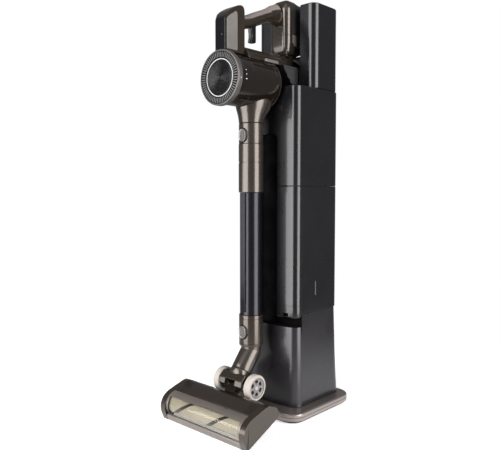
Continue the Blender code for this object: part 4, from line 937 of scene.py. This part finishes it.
# ---- Vacuum: intake funnel ----
# The gunmetal throat below the bin: round at the wand, and spreading back along the bin like a horn.
# It is moulded with the bin's frame, so only a fine line shows where the wand's collar meets it.
low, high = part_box("intake_funnel")
middle, neck = wand_place.y, (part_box("upper_collar")[1].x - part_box("upper_collar")[0].x) / 2
horn = swept([(middle + back, z, 0, neck + wide, neck + deep) for back, z, wide,
    deep in ((0, low.z, -0.0008, -0.0008), (0, low.z + 0.0008, 0, 0), (0.0002, 0.6140, 0.0005, 0.0006),
    (0.0011, 0.6200, 0.0016, 0.0024), (0.0028, 0.6260, 0.0032, 0.0054), (0.0048, 0.6320, 0.0054, 0.0092),
    (0.0064, 0.6390, 0.0080, 0.0126), (0.0072, 0.6470, 0.0104, 0.0148), (0.0074, 0.6560, 0.0120, 0.0156),
    (0.0074, 0.6660, 0.0126, 0.0156))], 72)
settle(horn)
carve(horn, round_cutter(axis_point, bin_radius + 0.0003, -0.3, 0.1, "Y"),
    round_cutter(wand_place, wand_bore, 0.55, 0.70))
soften(horn, 0.0005, 2, 50)
complete(horn, "intake_horn", gunmetal, "vacuum", "gunmetal", "intake_funnel", smooth=50)

# ---- Vacuum: wand collars and release buttons ----
# The turned-looking sleeves that join the wand to the body and to the floor head, in gunmetal over plastic.
# Each release is a bright oval button in a black seat, with a spring behind it.


def oval_cutter(half, tall, depth_from, depth_to, height):
    """An upright oval to cut with, lying along the machine's depth."""
    tool = footprint((-half, -tall, 0), (half, tall, 0), half * 0.985, 14)
    bpy.ops.mesh.extrude_region_move(TRANSFORM_OT_translate={"value": (0, 0, depth_to - depth_from)})
    bpy.ops.mesh.select_all(action="SELECT")
    bpy.ops.transform.rotate(value=math.radians(90), orient_axis="X", center_override=(0, 0, 0))
    close_edit()
    bpy.ops.object.transform_apply()
    shift = depth_from - min(v.co.y for v in tool.data.vertices)
    tool.location = (0, shift, height)
    bpy.ops.object.transform_apply()
    return tool


collars = {}
for label, bands in (("upper_collar", ()), ("wand_collar", (0.5290,)), ("lower_collar", (0.1560, 0.2080))):
    low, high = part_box(label)
    radius = (high.x - low.x) / 2
    side_line = [(radius - 0.0010, high.z), (radius - 0.0003, high.z - 0.0004), (radius, high.z - 0.0012)]
    for band in sorted(bands, reverse=True):
        side_line += [(radius, band + 0.0011), (radius - 0.0011, band + 0.0008),
            (radius - 0.0011, band - 0.0008), (radius, band - 0.0011)]
    side_line += [(radius, low.z + 0.0012), (radius - 0.0003, low.z + 0.0004), (radius - 0.0010, low.z),
        (wand_bore, low.z), (wand_bore, high.z)]
    collars[label] = settle(turned(side_line, wand_place, "Z", True))
for label, button in (("upper_collar", "wand_button"), ("lower_collar", "head_button")):
    low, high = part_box(button)
    height = (low.z + high.z) / 2
    half, tall = (high.x - low.x) / 2, (high.z - low.z) / 2
    seat_back = high.y - 0.0004
    carve(collars[label], oval_cutter(half + 0.0022, tall + 0.0024, -0.2, seat_back + 0.0008, height),
        oval_cutter(half + 0.0004, tall + 0.0004, -0.2, high.y + 0.0032, height))
    seat = oval_cutter(half + 0.0020, tall + 0.0022, low.y + 0.0034, seat_back + 0.0030, height)
    carve(seat, oval_cutter(half + 0.0003, tall + 0.0003, -0.2, high.y + 0.0020, height),
        round_cutter(wand_place, wand_bore + 0.0002, 0.1, 0.7))
    soften(seat, 0.0004, 2, 50)
    complete(seat, f"{button}_seat", black_gloss, "vacuum", "black_gloss", smooth=50)
    key = oval_cutter(half, tall, low.y, high.y, height)
    only(key)
    bpy.ops.object.mode_set(mode="EDIT")
    pick(lambda face: face.normal.y < -0.9)
    bpy.ops.mesh.inset(thickness=0.0012, depth=0)
    bpy.ops.mesh.inset(thickness=0.0016, depth=-0.0006)
    close_edit()
    soften(key, 0.0007, 3, 50)
    complete(key, f"{button}_key", bright_trim, button, "bright_trim", button, smooth=50)
complete(collars["upper_collar"], "upper_sleeve", gunmetal, "vacuum", "gunmetal", "upper_collar")
complete(collars["wand_collar"], "wand_sleeve", gunmetal, "vacuum", "gunmetal", "wand_collar")
complete(collars["lower_collar"], "lower_sleeve", brown_gunmetal, "vacuum", "gunmetal", "lower_collar")

# ---- Vacuum: wand ----
# An extruded aluminium tube, anodised satin black, with a raised flat rib down its front that hides the
# wires. Both ends are pressed into the sleeves.
anodised = paint_nodes("black_anodised", (20, 20, 24), (30, 30, 35), 0.24, 0.6, 600, 12, 0.00001, 0.1,
    (1, 1, 0.05))
low, high = wand_low, wand_high
radius = (high.x - low.x) / 2
wand = turned([(radius - 0.0006, high.z), (radius, high.z - 0.0006), (radius, low.z + 0.0006),
    (radius - 0.0006, low.z), (wand_bore, low.z), (wand_bore, high.z)], wand_place, "Z", True)
complete(wand, "wand_extrusion", anodised, "vacuum", "black_gloss", "wand_tube")
low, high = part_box("wand_rib")
rib = slab([(high.y, high.z), (low.y, high.z), (low.y, low.z + 0.031), (low.y + 0.0006, low.z + 0.018),
    (high.y - 0.0008, low.z), (high.y, low.z)], low.x, high.x)
soften(rib, 0.0011, 4, 30)
complete(rib, "wand_wire_cover", anodised, "vacuum", "black_gloss", "wand_rib")

# ---- Neck: elbow and yoke ----
# The elbow carries the dust round from the wand to the leaning neck, whose seam swivels.
# Below it a forked yoke straddles the head's knuckle on a steel pin, with a wedge-shaped shield in front.
pin_low, pin_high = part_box("axle_pin")
axle = (pin_low + pin_high) / 2
elbow_low, elbow_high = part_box("elbow")
neck_radius = (elbow_high.x - elbow_low.x) / 2
seam_y, seam_z, neck_lean = axle.y + 0.0057, axle.z + 0.0240, 39
run_y, run_z = -math.sin(math.radians(neck_lean)), -math.cos(math.radians(neck_lean))


def neck_station(reach, half, tall, forward=0.0):
    """A section of the leaning neck, this far down from the seam where it swivels."""
    return seam_y + run_y * reach + forward, seam_z + run_z * reach, neck_lean, half, tall


def from_axle(points):
    """Points (y, z) counted from the wheel axle, in the machine's frame."""
    return [(axle.y + y, axle.z + z) for y, z in points]


def knuckle_slot(half, top):
    """The slot that the floor head's knuckle swings in, up to a height above the axle."""
    return cutter_box((-half, axle.y - 0.1, axle.z - 0.1), (half, axle.y + 0.1, axle.z + top))


stations = [(wand_place.y, elbow_high.z, 0, neck_radius, neck_radius),
    (wand_place.y, 0.1440, 0, neck_radius, neck_radius)]
bend_y, bend_z = neck_station(-0.0480, 0, 0)[:2]
for step in range(1, 8):
    share = step / 8
    y = (1 - share) ** 2 * wand_place.y + 2 * share * (1 - share) * (wand_place.y - 0.0004) + share ** 2 * bend_y
    z = (1 - share) ** 2 * 0.1440 + 2 * share * (1 - share) * 0.1400 + share ** 2 * bend_z
    stations.append((y, z, neck_lean * share, neck_radius, neck_radius))
stations += [neck_station(-reach, neck_radius, neck_radius) for reach in (0.0480, 0.0400, 0.0300, 0.0200,
    0.0100, 0.0010)]
stations.append(neck_station(-0.0003, neck_radius - 0.0008, neck_radius - 0.0008))
elbow = swept(stations, 64)
complete(elbow, "elbow_duct", gunmetal, "vacuum", "gunmetal", "elbow", smooth=50)
hook = swept([neck_station(-0.030, neck_radius + 0.0008, 0.0052, 0.0010),
    neck_station(-0.016, neck_radius + 0.0008, 0.0060, 0.0010), neck_station(-0.008, neck_radius + 0.0006,
    0.0050, 0.0010)], 32)
soften(hook, 0.0006, 2, 50)
complete(hook, "elbow_catch", black_gloss, "vacuum", "black_gloss", smooth=50)
yoke_low, yoke_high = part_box("yoke")
arm = (yoke_high.x - yoke_low.x) / 2
throat = swept([neck_station(reach, neck_radius + wide, neck_radius + tall) for reach, wide,
    tall in ((0.0004, -0.0008, -0.0008), (0.0012, 0, 0), (0.0060, 0.0004, 0), (0.0110, 0.0026, -0.0015),
    (0.0150, 0.0050, -0.0045))], 64)
carve(throat, knuckle_slot(0.0135, 0.0125))
complete(throat, "neck_throat", gunmetal, "neck", "gunmetal", smooth=50)
fork = slab([(seam_y + run_y * 0.004 + 0.0165, seam_z + run_z * 0.004 - 0.0125),
    *from_axle([(0.0130, 0.0020), (0.0118, -0.0040), (0.0085, -0.0085), (0.0040, -0.0114),
    (-0.0040, -0.0114), (-0.0090, -0.0080), (-0.0120, -0.0020), (-0.0180, 0.0040), (-0.0262, 0.0128),
    (-0.0256, 0.0156)]), (seam_y + run_y * 0.008 - 0.0150, seam_z + run_z * 0.008 + 0.0080)], -arm, arm)
carve(fork, knuckle_slot(0.0135, 0.0125), round_cutter(axle, 0.0043, -0.1, 0.1, "X"))
soften(fork, 0.0016, 3, 40)
complete(fork, "neck_fork", brown_gunmetal, "neck", "gunmetal", "yoke", smooth=50)
shield = slab(from_axle([(-0.0292, 0.0040), (-0.0268, 0.0138), (-0.0150, 0.0235), (-0.0120, 0.0238),
    (-0.0110, 0.0215), (-0.0240, 0.0105), (-0.0262, 0.0035), (-0.0280, 0.0022)]), -arm - 0.0006,
    arm + 0.0006)
carve(shield, knuckle_slot(0.0138, 0.0142))
soften(shield, 0.0006, 3, 30)
complete(shield, "neck_shield", brown_gunmetal, "neck", "gunmetal", smooth=50)
finish_nodes(turned_steel, "axle_pin")

# ---- Wheels ----
# Two wide cream rubber tyres with rounded shoulders, on grey moulded hubs that turn on the steel pin.
# Each hub's face has six deep pockets round its boss, and its inner side is open; a black disc inside shows through
# the pockets as painted shade.
cream_rubber = paint_nodes("cream_rubber", (150, 143, 137), (166, 159, 153), 0.65, 0.0, 900, 50, 0.00006)
hub_plastic = paint_nodes("hub_plastic", (108, 104, 103), (130, 126, 125), 0.36, 0.35, 900, 40, 0.00003)
for hand, label in hands:
    low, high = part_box(f"tyre_{label}")
    radius, middle, half = (high.z - low.z) / 2, (low.x + high.x) / 2, (high.x - low.x) / 2
    bore = radius - 0.0052
    shoulder = [(radius - 0.0040 + 0.0040 * math.sin(math.radians(a)),
        half - 0.0040 + 0.0040 * math.cos(math.radians(a))) for a in range(0, 91, 10)]
    tread = [(r, middle + hand * x) for r, x in shoulder] + [(r, middle - hand * x) for r,
        x in reversed(shoulder)]
    tyre = turned([(bore, middle + hand * (half - 0.0003)), *tread, (bore,
        middle - hand * (half - 0.0003))], axle, "X", True)
    complete(tyre, f"wheel_tyre_{label}", cream_rubber, f"wheel_{label}", "tyre_cream", f"tyre_{label}",
        smooth=50)
    low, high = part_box(f"hub_{label}")
    half, bore = (high.x - low.x) / 2, bore - 0.0003
    outside = middle + hand * half

    def at(depth):
        """The place across the machine at a depth in from the hub's outer face."""
        return outside - hand * depth

    hub = turned([(0.0043, at(0)), (0.0062, at(0)), (0.0070, at(0.0004)), (0.0074, at(0.0014)),
        (bore - 0.0030, at(0.0014)), (bore - 0.0022, at(0.0004)), (bore - 0.0014, at(0)),
        (bore - 0.0004, at(0.0002)), (bore, at(0.0006)), (bore, at(2 * half)),
        (bore - 0.0020, at(2 * half)), (bore - 0.0020, at(0.0038)), (0.0085, at(0.0038)),
        (0.0085, at(2 * half)), (0.0043, at(2 * half))], axle, "X", True, 72)
    settle(hub)
    pockets = footprint((-0.0033, -0.0042, 0), (0.0033, 0.0042, 0), 0.0016, 4)
    bpy.ops.mesh.extrude_region_move(TRANSFORM_OT_translate={"value": (0, 0, 0.0090)})
    bpy.ops.mesh.select_all(action="SELECT")
    bpy.ops.transform.rotate(value=math.radians(90), orient_axis="Y", center_override=(0, 0, 0))
    bpy.ops.transform.translate(value=(outside + 0.0045, axle.y, axle.z + 0.0128))
    bpy.ops.mesh.spin(steps=6, dupli=True, angle=math.tau, center=axle, axis=(1, 0, 0))
    bpy.ops.mesh.select_all(action="SELECT")
    bpy.ops.mesh.remove_doubles(threshold=0.000001)
    carve(hub, settle(pockets))
    soften(hub, 0.0003, 2, 50)
    complete(hub, f"wheel_hub_{label}", hub_plastic, f"wheel_{label}", "hub_grey", f"hub_{label}")
    # A black disc set inside the hub and seen through the pockets: painted shade in their depths.
    core = turned([(0.0086, at(0.0046)), (bore - 0.0021, at(0.0046)), (bore - 0.0021, at(0.0066)),
        (0.0086, at(0.0066))], axle, "X", True, 48)
    complete(core, f"wheel_pocket_shade_{label}", black_plastic, f"wheel_{label}", "matte_black")

# ---- Floor head: cover ----
# A broad gunmetal moulding over the motor, raked forward to the brush window; ribs run in from both of its
# ends. A mauve strip with a small notch trims its front edge, and the parts are held by screws from below.
roller_low, roller_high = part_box("brush_roller")
roller = (roller_low + roller_high) / 2
pulley_low, pulley_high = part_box("motor_pulley")
motor_run = (pulley_low + pulley_high) / 2 - roller
head_lean = math.atan2(motor_run.z, motor_run.y) - math.atan2(-0.0025, 0.0435)


def lean(side_view):
    """Turns (y, z) points given from the axle with the head level into the machine's frame, with the head leaning."""
    across, up = math.cos(head_lean), math.sin(head_lean)
    return [(axle.y + y * across - z * up, axle.z + y * up + z * across) for y, z in side_view]


def ring_part(radius, start, end, steps):
    """Points (y, z) round part of the brush's axis, with the head level."""
    return [(-0.0935 + radius * math.cos(math.radians(start + (end - start) * step / steps)),
        -0.0075 + radius * math.sin(math.radians(start + (end - start) * step / steps)))
        for step in range(steps + 1)]


low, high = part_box("head_cover")
span = high.x
cover = slab(lean([(-0.0300, -0.0265), (-0.0235, -0.0146), (-0.0242, -0.0080), (-0.0290, -0.0020),
    (-0.0410, 0.0090), (-0.0500, 0.0110), (-0.0600, 0.0125), (-0.0720, 0.0141), (-0.0808, 0.0153),
    (-0.0812, 0.0149), (-0.0820, 0.0149), (-0.0824, 0.0155), (-0.0845, 0.0156),
    *ring_part(0.0225, 64, -62, 22), (-0.0810, -0.0265)]), -span, span)
bore = round_cutter(axle, 0.0315, -0.0545, 0.0545, "X")
tools = [bore]
for hand in (-1, 1):
    for step in range(9):
        place_x = hand * (span - 0.0040 - step * 0.0022)
        groove = slab(lean([(-0.0440, 0.0092), (-0.0600, 0.0119), (-0.0795, 0.0145), (-0.0795, 0.0300),
            (-0.0440, 0.0300)]), place_x - 0.0005, place_x + 0.0005)
        tools.append(groove)
carve(cover, *tools)
soften(cover, 0.0009, 3, 38)
complete(cover, "head_shell", brown_gunmetal, "head", "gunmetal", "head_cover", smooth=50)
trim = slab(lean([(-0.0836, 0.0162), (-0.0846, 0.0172), *ring_part(0.0256, 74, 108, 12),
    *ring_part(0.0246, 108, 68, 14)]), -span + 0.0002, span - 0.0002)
carve(trim, slab(lean(ring_part(0.0300, 103, 110, 3) + ring_part(0.0230, 110, 103, 3)), -0.0030, 0.0030))
soften(trim, 0.0003, 2, 40)
strip_mauve = paint_nodes("strip_mauve", (98, 92, 88), (116, 109, 104), 0.32, 0.5, 900, 20, 0.00002, 0.2)
complete(trim, "head_trim_strip", strip_mauve, "head", "soft_mauve")

# ---- Floor head: window, lip and end caps ----
# A curved clear polycarbonate window shows the brush; below it the mauve lip rides just off the floor.
# Gunmetal end caps with a bevelled rim close both ends and carry the brush's bearings.
window_clear = paint_nodes("window_clear", (226, 223, 218), (236, 234, 230), 0.05, 0.0, 300, 10, 0.000005,
    0.0)
set_sockets(window_clear, Transmission_Weight=1.0, IOR=1.25)
window = slab(lean([*ring_part(0.0245, 67, 196, 30), *ring_part(0.0231, 196, 67, 30)]), -span, span)
soften(window, 0.0003, 2, 50)
complete(window, "brush_window", window_clear, "head", "clear_window", "head_window", smooth=50)
for hand, label in hands:
    near, far = on_side(hand, span - 0.0056, span)
    band = slab(lean([*ring_part(0.0254, 100, 192, 30), *ring_part(0.0247, 192, 100, 30)]), near, far)
    soften(band, 0.0002, 1, 50)
    complete(band, f"window_frame_{label}", strip_mauve, "head", "soft_mauve", smooth=50)
lip = slab(lean([(-0.1240, -0.0277), (-0.1243, -0.0215), (-0.1236, -0.0180), (-0.1215, -0.0152),
    *ring_part(0.0249, 198, 222, 5), (-0.1110, -0.0285), (-0.1232, -0.0285)]), -span, span)
soften(lip, 0.0006, 3, 40)
complete(lip, "front_lip_rail", strip_mauve, "head", "gunmetal", "front_lip", smooth=50)
ridge = slab(lean([(-0.1246, -0.0244), (-0.1250, -0.0236), (-0.1250, -0.0226), (-0.1246, -0.0218),
    (-0.1236, -0.0218), (-0.1236, -0.0244)]), -span + 0.003, span - 0.003)
soften(ridge, 0.0003, 2, 40)
complete(ridge, "front_lip_bead", pale_satin, "head", "bright_trim", smooth=50)
end_view = [(-0.0305, -0.0275), (-0.0262, -0.0240), (-0.0238, -0.0180), (-0.0240, -0.0120),
    (-0.0262, -0.0050), (-0.0300, -0.0008), (-0.0410, 0.0105), (-0.0500, 0.0127), (-0.0600, 0.0140),
    (-0.0720, 0.0158), (-0.0840, 0.0170), (-0.0930, 0.0177), (-0.1010, 0.0166), (-0.1080, 0.0140),
    (-0.1130, 0.0105), (-0.1175, 0.0055), (-0.1208, 0.0000), (-0.1232, -0.0070), (-0.1240, -0.0140),
    (-0.1240, -0.0277), (-0.1232, -0.0285)]
for hand, label in hands:
    low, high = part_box(f"end_cap_{label}")
    inner, outer = hand * (span + 0.0003), high.x if hand > 0 else low.x
    near, far = sorted((inner, outer))
    cap = settle(slab(lean(end_view), near, far))
    tools = [round_cutter(roller, 0.0033, *sorted((inner - hand * 0.01, inner + hand * 0.0087)), "X")]
    if hand > 0:
        tools.append(slab(lean([(-0.1050, -0.0200), (-0.0415, -0.0200), (-0.0415, 0.0035),
            (-0.1050, 0.0035)]), 0.1, inner + 0.0068))
    carve(cap, *tools)
    only(cap)
    bpy.ops.object.mode_set(mode="EDIT")
    pick(lambda face: hand * face.normal.x > 0.9 and hand * (centre_of(face).x - outer) > -0.0005)
    bpy.ops.mesh.inset(thickness=0.0030, depth=0)
    bpy.ops.mesh.inset(thickness=0.0003, depth=-0.0002)
    close_edit()
    soften(cap, 0.0016, 4, 50)
    complete(cap, f"head_end_{label}", brown_gunmetal, "head", "gunmetal", f"end_cap_{label}", smooth=40)

# ---- Floor head: brush, belt and motor ----
# A soft cream velour roller with two black bristle strips wound round it like a screw, driven by a toothed
# belt. The steel motor lies behind it, inside the cover.
velour = paint_nodes("velour_nap", (150, 144, 128), (176, 170, 153), 0.95, 0.0, 1500, 90, 0.0006)
set_sockets(velour, Sheen_Weight=0.3)
bristle = paint_nodes("black_bristle", (14, 13, 13), (34, 32, 31), 0.7, 0.0, 2600, 90, 0.0005)
radius, length, sides, steps = (roller_high.z - roller_low.z) / 2, span - 0.0020, 80, 56
strip_pitch, strip_start, strip_sides = 0.194, 1.0, 5.2
clear_bench()
bpy.ops.mesh.primitive_circle_add(vertices=sides, radius=radius - 0.0010, fill_type="NGON",
    location=(-length, roller.y, roller.z), rotation=(0, math.pi / 2, 0))
brush = bpy.context.object
bpy.ops.object.mode_set(mode="EDIT")
bpy.ops.mesh.select_all(action="SELECT")
stride, twist = 2 * length / steps, math.tau * 2 * length / steps / strip_pitch
for step in range(steps):
    bpy.ops.mesh.extrude_region_move(TRANSFORM_OT_translate={"value": (stride, 0, 0)})
    bpy.ops.transform.rotate(value=twist, orient_axis="X", center_override=(-length + stride * (step + 1),
        roller.y, roller.z))
bpy.ops.mesh.select_all(action="SELECT")
bpy.ops.mesh.normals_make_consistent(inside=False)
settle(brush)
brush.data.materials.append(velour)
brush.data.materials.append(bristle)


def winding(face):
    """Where a face lies round the brush, once the screw of the strips is unwound."""
    centre = centre_of(face) - roller
    return (math.atan2(centre.z, centre.y) + (centre.x + length) * math.tau / strip_pitch) % math.pi


bpy.ops.object.mode_set(mode="EDIT")
pick(lambda face: abs(face.normal.x) < 0.5)
bpy.ops.mesh.extrude_region_shrink_fatten(TRANSFORM_OT_shrink_fatten={"value": 0.0007})
pick(lambda face: abs(face.normal.x) < 0.5
    and 0 < winding(face) - strip_start < strip_sides * math.tau / sides)
brush.active_material_index = 1
bpy.ops.object.material_slot_assign()
bpy.ops.mesh.extrude_region_shrink_fatten(TRANSFORM_OT_shrink_fatten={"value": 0.0003})
complete(brush, "brush_velour", velour, "brush", "brush_nap", "brush_roller", smooth=60)
spindle = turned([(0, -span - 0.0072), (0.0030, -span - 0.0072), (0.0030, -length), (0.0030, length),
    (0.0030, span + 0.0008), (0.0072, span + 0.0008), (0.0072, span + 0.0058), (0.0030, span + 0.0058),
    (0.0030, span + 0.0072), (0, span + 0.0072)], roller, "X", steps=36)
complete(spindle, "brush_spindle", turned_steel, "brush", "steel")
finish_nodes(turned_steel, "motor_pulley", "brush_motor")
finish_nodes(rubber, "drive_belt")
finish_nodes(brown_gunmetal, "head_knuckle")
